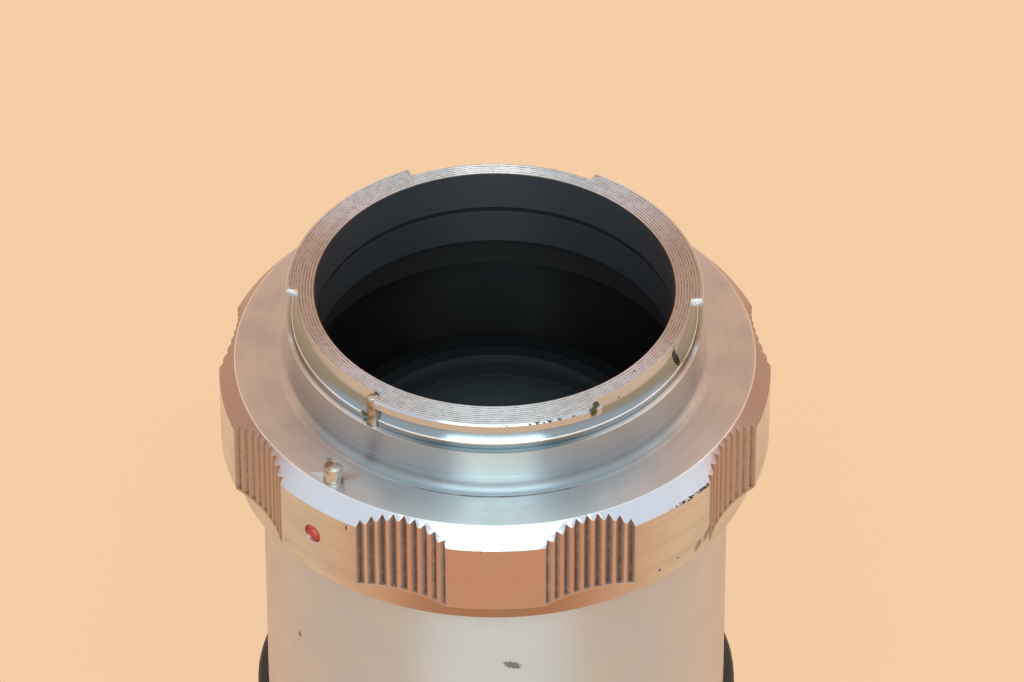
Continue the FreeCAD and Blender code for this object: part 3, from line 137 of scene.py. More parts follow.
# %% Sizes
TOP = cad_box[1].z / MM
THROAT_RADIUS = 17.65
THROAT_FOOT = TOP - 8.6
THROAT_LINE_HEIGHT = TOP - 4.3
NECK_RADIUS = 19.2
LOBE_RADIUS = 20.44
LEDGE_HEIGHT = TOP - 2.82
LEDGE_RADIUS = 19.9
COLLAR_HEIGHT = TOP - 3.53
FLANGE_HEIGHT = TOP - 8.3
FLANGE_RADIUS = 25.6
CHAMFER_FOOT = TOP - 10.2
GRIP_FOOT = TOP - 17.72
SKIRT_RADIUS = 26.0
GRIP_RADIUS = 27.13
BARREL_RADIUS = 23.1
SCALLOP_CUTTER = 14.0
SCALLOP_COUNT = 9
GROOVE_DEPTH = 0.42
FIELD_HALF = 4.7
BARREL_WALL = 1.5
print("flange face at", FLANGE_HEIGHT, "grip foot at", GRIP_FOOT)

# %% [markdown]
# ## Small helpers for shader nodes
# Every finish below is a tree of shader nodes. These helpers add a node, fill its sockets with
# numbers or links, and hand back its result, so that a finish reads like a recipe.

# %% Node helpers
def add(tree, kind, values=None, **settings):
    """Adds a shader node. values fills input sockets by name or number."""
    node = tree.nodes.new("ShaderNode" + kind)
    for name, setting in settings.items():
        setattr(node, name, setting)
    for key, given in (values or {}).items():
        if isinstance(given, bpy.types.NodeSocket):
            tree.links.new(given, node.inputs[key])
        else:
            node.inputs[key].default_value = given
    return node


def calc(tree, operation, *values):
    """The result of a Math node."""
    return add(tree, "Math", dict(enumerate(values)), operation=operation).outputs[0]


def times(tree, first, *others):
    """The product of values."""
    for other in others:
        first = calc(tree, "MULTIPLY", first, other)
    return first


def strongest(tree, first, *others):
    """The largest of values."""
    for other in others:
        first = calc(tree, "MAXIMUM", first, other)
    return first


def inverse(tree, mask):
    """0 where the mask is 1, and 1 where it is 0."""
    return calc(tree, "SUBTRACT", 1.0, mask)


def vector_calc(tree, operation, *values):
    """A Vector Math node."""
    return add(tree, "VectorMath", dict(enumerate(values)), operation=operation)


def scaled(tree, vector, factor):
    """A vector times a number."""
    return add(tree, "VectorMath", {0: vector, "Scale": factor}, operation="SCALE").outputs[0]


def length(tree, vector):
    """The length of a vector."""
    return vector_calc(tree, "LENGTH", vector).outputs["Value"]


def noise(tree, place, scale, detail):
    """Cloudy noise, from 0 to 1."""
    return add(tree, "TexNoise", {"Vector": place, "Scale": scale, "Detail": detail}).outputs[0]


def ramp(tree, value, low, high, to_low=0.0, to_high=1.0):
    """A smooth step: to_low below low, to_high above high."""
    return add(tree, "MapRange", {"Value": value, "From Min": low, "From Max": high, "To Min": to_low,
                                  "To Max": to_high}, interpolation_type="SMOOTHSTEP").outputs[0]


def blend_colour(tree, share, first, second, way="MIX"):
    """Mixes two colours."""
    node = add(tree, "Mix", {0: share, 6: first, 7: second}, data_type="RGBA", blend_type=way)
    return node.outputs[2]


def tint(tree, tone, colour, *masks):
    """Lets a colour replace the tone where all the masks are strong."""
    return blend_colour(tree, times(tree, *masks), tone, colour)


def blend_value(tree, share, first, second):
    """Mixes two numbers."""
    return add(tree, "Mix", {0: share, 2: first, 3: second}).outputs[0]


def combine(tree, x, y, z):
    """Three numbers as a vector."""
    return add(tree, "CombineXYZ", {0: x, 1: y, 2: z}).outputs[0]


def new_group(name, inputs, outputs):
    """An empty node group with named sockets, and its two end nodes."""
    tree = bpy.data.node_groups.new(name, "ShaderNodeTree")
    for socket, kind, default in inputs:
        made = tree.interface.new_socket(socket, in_out="INPUT", socket_type="NodeSocket" + kind)
        made.default_value = default
    for socket, kind in outputs:
        tree.interface.new_socket(socket, in_out="OUTPUT", socket_type="NodeSocket" + kind)
    return tree, tree.nodes.new("NodeGroupInput"), tree.nodes.new("NodeGroupOutput")


def use_group(tree, group, **values):
    """Places a node group. The names of its inputs are written with _ for a space."""
    node = add(tree, "Group", node_tree=group)
    for name, given in values.items():
        socket = node.inputs[name.replace("_", " ")]
        if isinstance(given, bpy.types.NodeSocket):
            tree.links.new(given, socket)
        else:
            socket.default_value = given
    return node


print("helpers ready")

# %% [markdown]
# ## Where a point is on a turned part
# Everything on a lens is turned, so a finish asks for a point's distance from the axis and its
# height, not for x, y and z. This group works both out in millimetres from object coordinates.
# They belong to the piece, so the finish stays on it when a ring turns.

# %% Group: lathe place
lathe_place, start, end = new_group(
    "lathe_place", [],
    [("Radius", "Float"), ("Height", "Float"), ("Turn", "Float"), ("Place", "Vector")])
object_place = add(lathe_place, "TexCoord").outputs["Object"]
in_millimetres = scaled(lathe_place, object_place, 1 / MM)
split = add(lathe_place, "SeparateXYZ", {0: in_millimetres})
flat = combine(lathe_place, split.outputs[0], split.outputs[1], 0.0)
lathe_place.links.new(length(lathe_place, flat), end.inputs["Radius"])
lathe_place.links.new(split.outputs[2], end.inputs["Height"])
turned_by = calc(lathe_place, "ARCTAN2", split.outputs[1], split.outputs[0])
lathe_place.links.new(turned_by, end.inputs["Turn"])
lathe_place.links.new(in_millimetres, end.inputs["Place"])
print("group:", lathe_place.name)

# %% [markdown]
# ## Turning marks
# A cutting tool leaves fine rings. Noise that changes fast across the rings and slowly along them
# gives such marks: the radius and the height are divided by the spacing of the marks, and the
# direction round the axis only by a large number.

# %% Group: turning marks
turning_marks, start, end = new_group(
    "turning_marks",
    [("Place", "Vector", (0, 0, 0)), ("Radius", "Float", 0.0), ("Height", "Float", 0.0),
     ("Spacing", "Float", 0.2), ("Drift", "Float", 0.15)],
    [("Marks", "Float")])
around = vector_calc(turning_marks, "NORMALIZE", start.outputs["Place"])
drifting = scaled(turning_marks, around.outputs[0], start.outputs["Drift"])
spoke = calc(turning_marks, "DIVIDE", start.outputs["Radius"], start.outputs["Spacing"])
rise = calc(turning_marks, "DIVIDE", start.outputs["Height"], start.outputs["Spacing"])
across = combine(turning_marks, spoke, times(turning_marks, spoke, 0.37), 0.0)
field = vector_calc(turning_marks, "ADD", drifting, across).outputs[0]
lines = add(turning_marks, "TexNoise", {"Vector": field, "W": rise, "Scale": 1.0, "Detail": 2.0,
                                        "Roughness": 0.6}, noise_dimensions="4D")
turning_marks.links.new(lines.outputs[0], end.inputs["Marks"])
print("group:", turning_marks.name)

# %% [markdown]
# ## Worn edges and edge highlights
# Handling rubs an edge bright. The edge of a turned part is a circle, so its wear is a band round
# a known radius and height. Noise breaks the band up, because wear is never even. The same band
# also serves for painted highlights: the bright hairlines that light draws along some edges.

# %% Group: worn edge
edge_wear_and_highlight, start, end = new_group(
    "edge_wear_and_highlight",
    [("Place", "Vector", (0, 0, 0)), ("Radius", "Float", 0.0), ("Height", "Float", 0.0),
     ("Edge Radius", "Float", 20.0), ("Edge Height", "Float", 0.0), ("Width", "Float", 0.1),
     ("Unevenness", "Float", 0.5)],
    [("Mask", "Float")])
aside = calc(edge_wear_and_highlight, "SUBTRACT", start.outputs["Radius"], start.outputs["Edge Radius"])
above = calc(edge_wear_and_highlight, "SUBTRACT", start.outputs["Height"], start.outputs["Edge Height"])
gap = length(edge_wear_and_highlight, combine(edge_wear_and_highlight, aside, above, 0.0))
patches = noise(edge_wear_and_highlight, start.outputs["Place"], 0.9, 5.0)
swing = times(edge_wear_and_highlight, calc(edge_wear_and_highlight, "SUBTRACT", patches, 0.5), start.outputs["Unevenness"])
reach = times(edge_wear_and_highlight, start.outputs["Width"], calc(edge_wear_and_highlight, "ADD", swing, 1.0))
share = calc(edge_wear_and_highlight, "DIVIDE", gap, reach)
edge_wear_and_highlight.links.new(ramp(edge_wear_and_highlight, share, 1.0, 0.5), end.inputs["Mask"])
print("group:", edge_wear_and_highlight.name)

# %% [markdown]
# ## Stains, chips and scratches
# Each mark of the real lens has its own place. This group draws one: a spot round a centre, with
# a ragged outline, stretched along a direction where the mark is a scratch. A finish places it
# once for each mark.

# %% Group: mark
mark, start, end = new_group(
    "mark",
    [("Place", "Vector", (0, 0, 0)), ("Centre", "Vector", (0, 0, 0)), ("Along", "Vector", (1, 0, 0)),
     ("Stretch", "Float", 1.0), ("Size", "Float", 0.3), ("Raggedness", "Float", 0.6)],
    [("Mask", "Float")])
offset = vector_calc(mark, "SUBTRACT", start.outputs["Place"], start.outputs["Centre"]).outputs[0]
run = vector_calc(mark, "DOT_PRODUCT", offset, start.outputs["Along"]).outputs["Value"]
shortening = inverse(mark, calc(mark, "DIVIDE", 1.0, start.outputs["Stretch"]))
backwards = scaled(mark, start.outputs["Along"], times(mark, run, shortening))
squeezed = vector_calc(mark, "SUBTRACT", offset, backwards).outputs[0]
distance = length(mark, squeezed)
ragged = noise(mark, start.outputs["Place"], 3.5, 4.0)
wobble = times(mark, calc(mark, "SUBTRACT", ragged, 0.5),
              times(mark, start.outputs["Size"], start.outputs["Raggedness"]))
edge = calc(mark, "DIVIDE", calc(mark, "ADD", distance, times(mark, wobble, 2.0)),
            start.outputs["Size"])
mark.links.new(ramp(mark, edge, 1.0, 0.55), end.inputs["Mask"])
print("group:", mark.name)

# %% [markdown]
# ## Dust and pits
# Old metal carries small dark specks. A Voronoi texture scatters one point in each cell; only
# some cells are used, so that the specks don't look like a pattern.

# %% Group: specks
specks, start, end = new_group(
    "specks",
    [("Place", "Vector", (0, 0, 0)), ("Spacing", "Float", 2.0), ("Size", "Float", 0.05),
     ("Share", "Float", 0.3)],
    [("Mask", "Float")])
density = calc(specks, "DIVIDE", 1.0, start.outputs["Spacing"])
cells = add(specks, "TexVoronoi", {"Vector": start.outputs["Place"], "Scale": density})
in_cell = times(specks, cells.outputs["Distance"], start.outputs["Spacing"])
chance = add(specks, "SeparateColor", {0: cells.outputs["Color"]})
picked = calc(specks, "LESS_THAN", chance.outputs[0], start.outputs["Share"])
own_size = times(specks, start.outputs["Size"], calc(specks, "ADD", chance.outputs[1], 0.4))
round_spot = ramp(specks, calc(specks, "DIVIDE", in_cell, own_size), 1.0, 0.6)
specks.links.new(times(specks, round_spot, picked), end.inputs["Mask"])
print("group:", specks.name)

# %% [markdown]
# ## A finish and its shader
# A finish starts from one Principled shader. What is the same all over the piece, such as the
# spread of the turned highlight, is set on the shader itself. Dust and wear differ round the mount,
# and so do the painted highlights, reflections and shade that stand in for light, so a finish also
# asks how far a point faces the front.

# %% A new finish
BUMP_REACH = 0.00002


def new_finish(name, **plain):
    """A material with a Principled shader. plain fills its sockets, with _ for a space."""
    finish = bpy.data.materials.new(name)
    finish.use_nodes = True
    shader = finish.node_tree.nodes["Principled BSDF"]
    for socket, given in plain.items():
        shader.inputs[socket.replace("_", " ")].default_value = given
    return finish, finish.node_tree, shader


def on_lathe(tree):
    """The four results of the lathe place group."""
    place = use_group(tree, lathe_place)
    return [place.outputs[name] for name in ("Radius", "Height", "Turn", "Place")]


def front_facing(tree, turn):
    """1 at the front of the lens, 0 at its sides and -1 at its back."""
    return times(tree, calc(tree, "SINE", turn), -1.0)


def turned_lines(tree, place, radius, height, spacing, **more):
    """Turning marks at a spacing in millimetres, from 0 to 1."""
    return use_group(tree, turning_marks, Place=place, Radius=radius, Height=height, Spacing=spacing,
                     **more).outputs[0]


def wear_and_highlight_band(tree, place, radius, height, edge_radius, edge_height, width, unevenness):
    """The mask of a band along a round edge, for wear and for painted highlights."""
    return use_group(tree, edge_wear_and_highlight, Place=place, Radius=radius, Height=height,
                     Edge_Radius=edge_radius, Edge_Height=edge_height, Width=width,
                     Unevenness=unevenness).outputs[0]


def speckled(tree, place, spacing, size, share):
    """The mask of specks of a size. Only a share of the cells holds one."""
    return use_group(tree, specks, Place=place, Spacing=spacing, Size=size, Share=share).outputs[0]


def raise_surface(tree, shader, height, distance=BUMP_REACH):
    """Feeds a height to the shader as a bump."""
    bump = add(tree, "Bump", {"Height": height, "Distance": distance, "Strength": 1.0})
    tree.links.new(bump.outputs[0], shader.inputs["Normal"])


def turned_shine(tree, shader, spread):
    """Stretches the highlight across the turning marks, as fine rings do."""
    tangent = add(tree, "Tangent", direction_type="RADIAL", axis="Z")
    tree.links.new(tangent.outputs[0], shader.inputs["Tangent"])
    shader.inputs["Anisotropic"].default_value = spread
    shader.inputs["Anisotropic Rotation"].default_value = 0.25


def marks_mask(tree, place, marks):
    """The strongest of several marks at each point."""
    total = 0.0
    for centre, size, along, stretch in marks:
        one = use_group(tree, mark, Place=place, Centre=tuple(centre / MM), Size=size,
                        Along=tuple(Vector(along).normalized()), Stretch=stretch)
        total = strongest(tree, total, one.outputs[0])
    return total


print("bump reach in mm:", BUMP_REACH / MM)

# %% [markdown]
# ## Chromed brass of the camera mount
# Flange, collar and grip ring are one turned piece in bright chrome. The flange face shows soft
# rings, the chamfer is polished, and the V grooves of the grip hold brown dirt. The grooves lie on
# scallops cut by a round cutter, so the depth of a point in its groove is its distance from the
# cutter's axis: folding the turn into one ninth makes one formula do for all nine fields. Much of
# the colour is painted light, set by how far a point faces the front: painted reflections on the
# collar wall, chamfer and grip, painted highlights along edges, and painted shade in the cove at
# the collar's foot and under the grip ring.

# %% Mount flange finish
CHROME = (0.70, 0.69, 0.675, 1)
CHROME_DULL = (0.50, 0.47, 0.44, 1)
DIRT = (0.28, 0.165, 0.11, 1)
DEEP_DIRT = (0.13, 0.075, 0.05, 1)
# Painted highlight for the front of the collar wall.
COLLAR_FRONT_HIGHLIGHT = (0.62, 0.72, 0.74, 1)
BROWN_STAIN = (0.15, 0.06, 0.028, 1)
# Painted shade for the collar's top edge and for the hollow at its foot.
PAINTED_SHADE_TONE = (0.33, 0.39, 0.41, 1)
# Painted reflection of a darker, browner floor on the grip and skirt at the front.
FLOOR_REFLECTION_BROWN = (0.54, 0.325, 0.25, 1)
# Painted reflection of the warm floor on the grip's plain fields, away from the front.
FIELD_FLOOR_REFLECTION = (0.44, 0.27, 0.185, 1)
# Painted reflections on the chamfer: warm away from the front, blue at the front.
CHAMFER_WARM_REFLECTION = (0.49, 0.39, 0.385, 1)
CHAMFER_BLUE_REFLECTION = (0.72, 0.77, 0.81, 1)
# Painted shade and painted blue reflection for the collar wall.
COLLAR_SIDE_SHADE = (0.47, 0.48, 0.50, 1)
COLLAR_BLUE_REFLECTION = (0.42, 0.48, 0.53, 1)
# Painted highlight for the bright hairlines along edges.
EDGE_HIGHLIGHT = (0.98, 0.98, 0.98, 1)
RUST = (0.035, 0.02, 0.012, 1)
# Painted shade under the grip ring, at the front.
SKIRT_SHADE_BROWN = (0.36, 0.235, 0.17, 1)

flange_marks = [
    (point_on_tube((660, 570), GRIP_RADIUS * MM), 0.16, (1, 0, 0.5), 1.5),
    (point_on_tube((346, 528), GRIP_RADIUS * MM), 0.14, (0, 0, 1), 3.0),
    (point_on_tube((286, 540), GRIP_RADIUS * MM), 0.11, (1, 0, 0), 1.0),
    (point_on_tube((480, 552), GRIP_RADIUS * MM), 0.1, (1, 0, 0), 2.0),
    (point_at_height((362, 408), FLANGE_HEIGHT * MM), 0.1, (1, 0, 0), 1.0),
]
flange_stains = [
    (point_on_tube((707, 533), GRIP_RADIUS * MM), 0.46, (0.4, 0.5, 1.0), 2.4),
    (point_on_tube((698, 545), GRIP_RADIUS * MM), 0.5, (0.6, 0.6, 0.9), 2.0),
    (point_on_tube((678, 558), GRIP_RADIUS * MM), 0.18, (1, 0, 0.2), 1.8),
    (point_at_height((366, 420), COLLAR_HEIGHT * MM), 0.35, (1, 0, 0), 1.5),
    (point_at_height((329, 459), FLANGE_HEIGHT * MM), 0.22, (1, -0.4, 0), 2.0),
]
foot_reach = point_at_height((490, 497), FLANGE_HEIGHT * MM).xy.length / MM

flange_finish, tree, shader = new_finish("chromed_mount", Metallic=1.0)
radius, height, turn, place = on_lathe(tree)
fine = turned_lines(tree, place, radius, height, 0.09)
broad = turned_lines(tree, place, radius, height, 0.9)
clouds = noise(tree, place, 0.22, 6.0)
CHAMFER_SLOPE = (GRIP_RADIUS - FLANGE_RADIUS) / (FLANGE_HEIGHT - CHAMFER_FOOT)
below_face = calc(tree, "SUBTRACT", FLANGE_HEIGHT, height)
cone_radius = calc(tree, "ADD", FLANGE_RADIUS, times(tree, below_face, CHAMFER_SLOPE))
off_cone = ramp(tree, calc(tree, "SUBTRACT", cone_radius, radius), 0.03, 0.07)
chamfer = times(tree, ramp(tree, below_face, 0.02, 0.06), inverse(tree, off_cone))
grip_side = times(tree, ramp(tree, height, GRIP_FOOT - 0.05, GRIP_FOOT + 0.05),
                  ramp(tree, below_face, 0.05, 0.1), off_cone)
field_angle = 2 * math.pi / SCALLOP_COUNT
first_field = math.radians(-90) + field_angle / 2
folded = calc(tree, "SUBTRACT", calc(tree, "FLOORED_MODULO", calc(
    tree, "ADD", turn, field_angle / 2 - first_field), field_angle), field_angle / 2)
inward = calc(tree, "SUBTRACT", SKIRT_RADIUS + SCALLOP_CUTTER,
              times(tree, radius, calc(tree, "COSINE", folded)))
sideways = times(tree, radius, calc(tree, "SINE", folded))
from_cutter = length(tree, combine(tree, inward, sideways, 0.0))
groove_share = calc(tree, "DIVIDE", calc(tree, "SUBTRACT", from_cutter, SCALLOP_CUTTER), GROOVE_DEPTH)
facing = front_facing(tree, turn)
front_share = ramp(tree, facing, 0.3, 0.9, 0.8, 1.0)
in_field = ramp(tree, calc(tree, "ABSOLUTE", sideways), FIELD_HALF + 0.05, FIELD_HALF)
dirt_clouds = ramp(tree, noise(tree, place, 1.4, 5.0), 0.25, 0.6, 0.6, 1.0)
groove_dirt = times(tree, ramp(tree, groove_share, 0.05, 0.5), grip_side, in_field, front_share,
                    dirt_clouds)
tone = tint(tree, CHROME, CHROME_DULL, ramp(tree, clouds, 0.35, 0.75, 0.0, 0.35))
tone = tint(tree, tone, CHROME_DULL, ramp(tree, broad, 0.45, 0.75, 0.0, 0.3))
under_skirt = ramp(tree, height, GRIP_FOOT + 0.03, GRIP_FOOT - 0.03)
collar_share = ramp(tree, height, FLANGE_HEIGHT + 0.5, FLANGE_HEIGHT + 0.8)
at_front = ramp(tree, facing, 0.72, 1.0)
# Painted reflection: where the grip and the skirt face the front, they take the tone of a darker,
# browner floor.
front_floor_reflection = times(tree, strongest(tree, grip_side, under_skirt), at_front)
collar_wall = times(tree, collar_share, ramp(tree, height, COLLAR_HEIGHT - 0.03, COLLAR_HEIGHT - 0.12))
# Painted light on the front half of the collar wall: shade at its sides, a blue reflection nearer the
# front and a highlight at the front.
collar_painted_light = tint(tree, COLLAR_SIDE_SHADE, COLLAR_BLUE_REFLECTION, ramp(tree, facing, 0.75, 0.95))
collar_painted_light = tint(tree, collar_painted_light, COLLAR_FRONT_HIGHLIGHT, ramp(tree, facing, 0.97, 1.0))
tone = tint(tree, tone, collar_painted_light, collar_wall, ramp(tree, facing, 0.05, 0.35))
# Painted highlight along the collar's top edge, to either side of the front.
collar_top = ramp(tree, height, COLLAR_HEIGHT - 0.12, COLLAR_HEIGHT - 0.03)
collar_top_highlight = times(tree, ramp(tree, facing, 0.3, 0.6), ramp(tree, facing, 0.93, 0.8))
tone = tint(tree, tone, EDGE_HIGHLIGHT, collar_top, collar_top_highlight)
# Painted shade on the collar's top edge at the front middle.
tone = tint(tree, tone, PAINTED_SHADE_TONE, collar_top, ramp(tree, facing, 0.9, 0.97))
# Painted shade in the hollow at the collar's foot, strongest towards the front.
hollow = times(tree, ramp(tree, height, FLANGE_HEIGHT, FLANGE_HEIGHT + 0.12),
               ramp(tree, height, FLANGE_HEIGHT + 1.35, FLANGE_HEIGHT + 0.8))
tone = tint(tree, tone, PAINTED_SHADE_TONE, hollow, ramp(tree, facing, 0.3, 0.65, 0.0, 0.9))
# Painted reflections on the chamfer: warm away from the front, blue at the front.
chamfer_painted_reflection = tint(tree, CHAMFER_WARM_REFLECTION, CHAMFER_BLUE_REFLECTION, ramp(tree, facing, 0.5, 0.74))
tone = tint(tree, tone, chamfer_painted_reflection, chamfer)
# Painted reflection of the warm floor on the grip's plain fields, away from the front.
tone = tint(tree, tone, FIELD_FLOOR_REFLECTION, in_field, grip_side, ramp(tree, facing, 0.85, 0.65, 0.0, 0.75))
# Painted highlight along the edge between the flange face and the chamfer.
chamfer_edge_highlight = wear_and_highlight_band(tree, place, radius, height, FLANGE_RADIUS, FLANGE_HEIGHT, 0.09, 0.8)
tone = tint(tree, tone, EDGE_HIGHLIGHT, chamfer_edge_highlight)
# Painted reflection of the browner floor at the front.
tone = tint(tree, tone, FLOOR_REFLECTION_BROWN, front_floor_reflection, 0.85)
# Painted shade under the grip ring, at the front.
tone = tint(tree, tone, SKIRT_SHADE_BROWN, under_skirt, ramp(tree, facing, 0.90, 1.0, 0.0, 0.85))
dirt_tone = tint(tree, DIRT, DEEP_DIRT, ramp(tree, groove_share, 0.55, 0.95))
tone = tint(tree, tone, dirt_tone, groove_dirt, 0.85)
chips = marks_mask(tree, place, flange_marks)
edge_chips = wear_and_highlight_band(tree, place, radius, height, GRIP_RADIUS, CHAMFER_FOOT, 0.24, 3.0)
chipped_turn = times(tree, ramp(tree, turn, -0.92, -0.84), ramp(tree, turn, -0.56, -0.62))
gnawed = ramp(tree, noise(tree, place, 2.4, 3.0), 0.44, 0.52)
edge_chips = times(tree, edge_chips, chipped_turn, gnawed)
chips = strongest(tree, chips, edge_chips)
stains = marks_mask(tree, place, flange_stains)
foot_dirt = wear_and_highlight_band(tree, place, radius, height, foot_reach, FLANGE_HEIGHT, 0.1, 2.2)
foot_dirt = times(tree, foot_dirt, ramp(tree, facing, 0.88, 0.95, 0.0, 0.8))
pits = speckled(tree, place, 1.7, 0.035, 0.35)
dark_spots = strongest(tree, chips, foot_dirt, times(tree, pits, 0.7))
tone = tint(tree, tone, BROWN_STAIN, stains, 0.75)
tone = tint(tree, tone, RUST, dark_spots)
tree.links.new(tone, shader.inputs["Base Color"])
gloss = blend_value(tree, chamfer, 0.38, 0.27)
gloss = blend_value(tree, collar_share, gloss, 0.36)
gloss = blend_value(tree, strongest(tree, grip_side, under_skirt), gloss, 0.26)
gloss = calc(tree, "ADD", gloss, ramp(tree, clouds, 0.3, 0.7, -0.03, 0.05))
gloss = blend_value(tree, strongest(tree, groove_dirt, dark_spots), gloss, 0.6)
tree.links.new(gloss, shader.inputs["Roughness"])
dull_spots = strongest(tree, dark_spots, stains, times(tree, groove_dirt, 0.6))
metal_share = inverse(tree, times(tree, dull_spots, 0.8))
tree.links.new(metal_share, shader.inputs["Metallic"])
rings = calc(tree, "ADD", times(tree, fine, 0.12), times(tree, broad, 0.55))
rings = calc(tree, "SUBTRACT", rings, times(tree, chips, 0.8))
raise_surface(tree, shader, rings)
turned_shine(tree, shader, 0.85)
print("finish:", flange_finish.name, "nodes:", len(tree.nodes))

# %% [markdown]
# ## Bayonet: bright outside, black inside
# The bayonet ring is turned from the same metal, with coarse rings on the faces of its lobes. Its
# bore is blackened against stray light. One finish does both: a mask by radius and height turns
# the bright metal into black paint inside the throat. Much of the colour is painted light: the
# rim's top face and the front lobe walls carry painted highlights and reflections, the neck
# painted shade, the ledge a painted hairline highlight, and the bore paint grows darker with
# depth, down to near black as painted shade in the well below it.

# %% Bayonet finish
SCRATCH_COLOUR = (0.085, 0.066, 0.025, 1)
LINE_COLOUR = (0.24, 0.22, 0.205, 1)
# Painted light on the rim's top face: highlights at the front and back, blue reflections between, shade
# at the sides.
RIM_FRONT_BACK_HIGHLIGHT = (0.72, 0.76, 0.78, 1)
RIM_SIDE_SHADE = (0.57, 0.535, 0.52, 1)
RIM_BLUE_REFLECTION = (0.74, 0.80, 0.90, 1)
# Painted grey-blue reflection for the lobe walls at the front.
FRONT_LOBE_REFLECTION = (0.55, 0.57, 0.62, 1)
HALO_BROWN = (0.22, 0.15, 0.07, 1)
# Painted shade for the neck, and a painted highlight for its front middle.
NECK_SHADE = (0.27, 0.325, 0.335, 1)
NECK_FRONT_HIGHLIGHT = (0.40, 0.48, 0.49, 1)
# Painted highlight for the back middle of the rim.
RIM_BACK_HIGHLIGHT = (1.0, 1.0, 1.0, 1)
RIM_BROWN = (0.30, 0.20, 0.13, 1)
# The bore's black paint with painted light: lighter above the throat line, darker below it as painted
# shade.
THROAT_SHADED_BLACK = (0.016, 0.022, 0.026, 1)
THROAT_LIT_BLACK = (0.026, 0.032, 0.037, 1)
THROAT_DUST = (0.10, 0.105, 0.11, 1)
# Near black as painted shade, for the well deep inside the lens.
DEEP_SHADE_BLACK = (0.0012, 0.0012, 0.0012, 1)
RING_PITCH = 0.29
bayonet_marks = [
    (point_at_height((389, 410), TOP * MM), 0.14, (1, 0, 0), 1.0),
    (point_on_tube((594, 412), LOBE_RADIUS * MM), 0.55, (0, 0, 1), 1.5),
    (point_at_height((596, 405), TOP * MM), 0.42, (0.3, 1, 0), 1.8),
    (point_at_height((634, 371), TOP * MM), 0.10, (1, 1, 0), 2.0),
    (point_on_tube((619, 397), NECK_RADIUS * MM), 0.12, (1, 0.4, 0), 2.0),
    (point_at_height((366, 402), TOP * MM), 0.4, (1, -1, 0), 1.6),
    (point_at_height((362, 414), LEDGE_HEIGHT * MM), 0.45, (1, 0, 0), 1.5),
]
screw_halo = [(point_on_tube((677, 364), NECK_RADIUS * MM), 1.25, (0.3, 0.6, 0.3), 1.3)]
bayonet_finish, tree, shader = new_finish("chromed_bayonet")
radius, height, turn, place = on_lathe(tree)
facing = front_facing(tree, turn)
inside = times(tree, ramp(tree, height, TOP - 0.04, TOP - 0.10),
               ramp(tree, radius, NECK_RADIUS - 0.16, NECK_RADIUS - 0.24))
behind_throat = times(tree, inside, ramp(tree, radius, THROAT_RADIUS + 0.05, THROAT_RADIUS + 0.2))
# Painted shade: below the throat's foot and behind it, the paint is made near black and fully rough.
deep = strongest(tree, ramp(tree, height, THROAT_FOOT + 0.02, THROAT_FOOT - 0.1), behind_throat)
rim_face = ramp(tree, height, TOP - 0.03, TOP - 0.01)
fine = turned_lines(tree, place, radius, height, 0.07)
wander = turned_lines(tree, place, radius, height, 0.8, Drift=1.2)
ring_phase = calc(tree, "ADD", times(tree, radius, 2 * math.pi / RING_PITCH),
                  times(tree, wander, 5.0))
coarse = times(tree, calc(tree, "ADD", calc(tree, "SINE", ring_phase), 1.0), 0.5, rim_face)
off_side = calc(tree, "ABSOLUTE", facing)
# Painted light on the rim's top face: shade at the sides, blue reflections between, highlights at the
# front and back, white at the back middle.
rim_painted_light = tint(tree, RIM_SIDE_SHADE, RIM_BLUE_REFLECTION, ramp(tree, off_side, 0.3, 0.7))
rim_painted_light = tint(tree, rim_painted_light, RIM_FRONT_BACK_HIGHLIGHT, ramp(tree, off_side, 0.75, 0.92))
rim_painted_light = tint(tree, rim_painted_light, RIM_BACK_HIGHLIGHT, ramp(tree, facing, -0.965, -0.995))
tone = tint(tree, CHROME, rim_painted_light, rim_face)
lobe_wall = ramp(tree, height, LEDGE_HEIGHT + 1.4, LEDGE_HEIGHT + 1.6)
front_lobe = ramp(tree, facing, 0.6, 0.9, 0.0, 0.6)
# Painted grey-blue reflection on the lobe walls at the front.
tone = tint(tree, tone, FRONT_LOBE_REFLECTION, lobe_wall, front_lobe, inverse(tree, rim_face))
# Painted shade on the neck above the ledge, leaving a painted highlight only at its front middle.
neck_foot = ramp(tree, height, LEDGE_HEIGHT + 1.7, LEDGE_HEIGHT + 1.2)
neck_painted_light = tint(tree, NECK_SHADE, NECK_FRONT_HIGHLIGHT, ramp(tree, facing, 0.965, 0.995))
tone = tint(tree, tone, neck_painted_light, neck_foot, 0.9)
# Painted highlight along the edge of the ledge.
ledge_highlight = wear_and_highlight_band(tree, place, radius, height, LEDGE_RADIUS, LEDGE_HEIGHT, 0.12, 0.6)
tone = tint(tree, tone, EDGE_HIGHLIGHT, ledge_highlight)
dashes = ramp(tree, noise(tree, place, 1.7, 4.0), 0.35, 0.65, 0.35, 1.0)
tone = tint(tree, tone, LINE_COLOUR, ramp(tree, coarse, 0.45, 0.95), dashes)
stains = marks_mask(tree, place, bayonet_marks)
lobe_flecks = wear_and_highlight_band(tree, place, radius, height, LOBE_RADIUS, TOP - 0.1, 0.2, 2.6)
flecked_turn = times(tree, ramp(tree, turn, -1.60, -1.45), ramp(tree, turn, -1.05, -1.12))
fleck_spots = ramp(tree, noise(tree, place, 2.6, 3.0), 0.5, 0.58)
stains = strongest(tree, stains, times(tree, lobe_flecks, flecked_turn, fleck_spots))
halo = marks_mask(tree, place, screw_halo)
tone = tint(tree, tone, HALO_BROWN, halo, 0.65)
tone = tint(tree, tone, SCRATCH_COLOUR, stains)
rim_line = wear_and_highlight_band(tree, place, radius, height, THROAT_RADIUS, TOP, 0.1, 1.2)
tone = tint(tree, tone, RIM_BROWN, rim_line, 0.75)
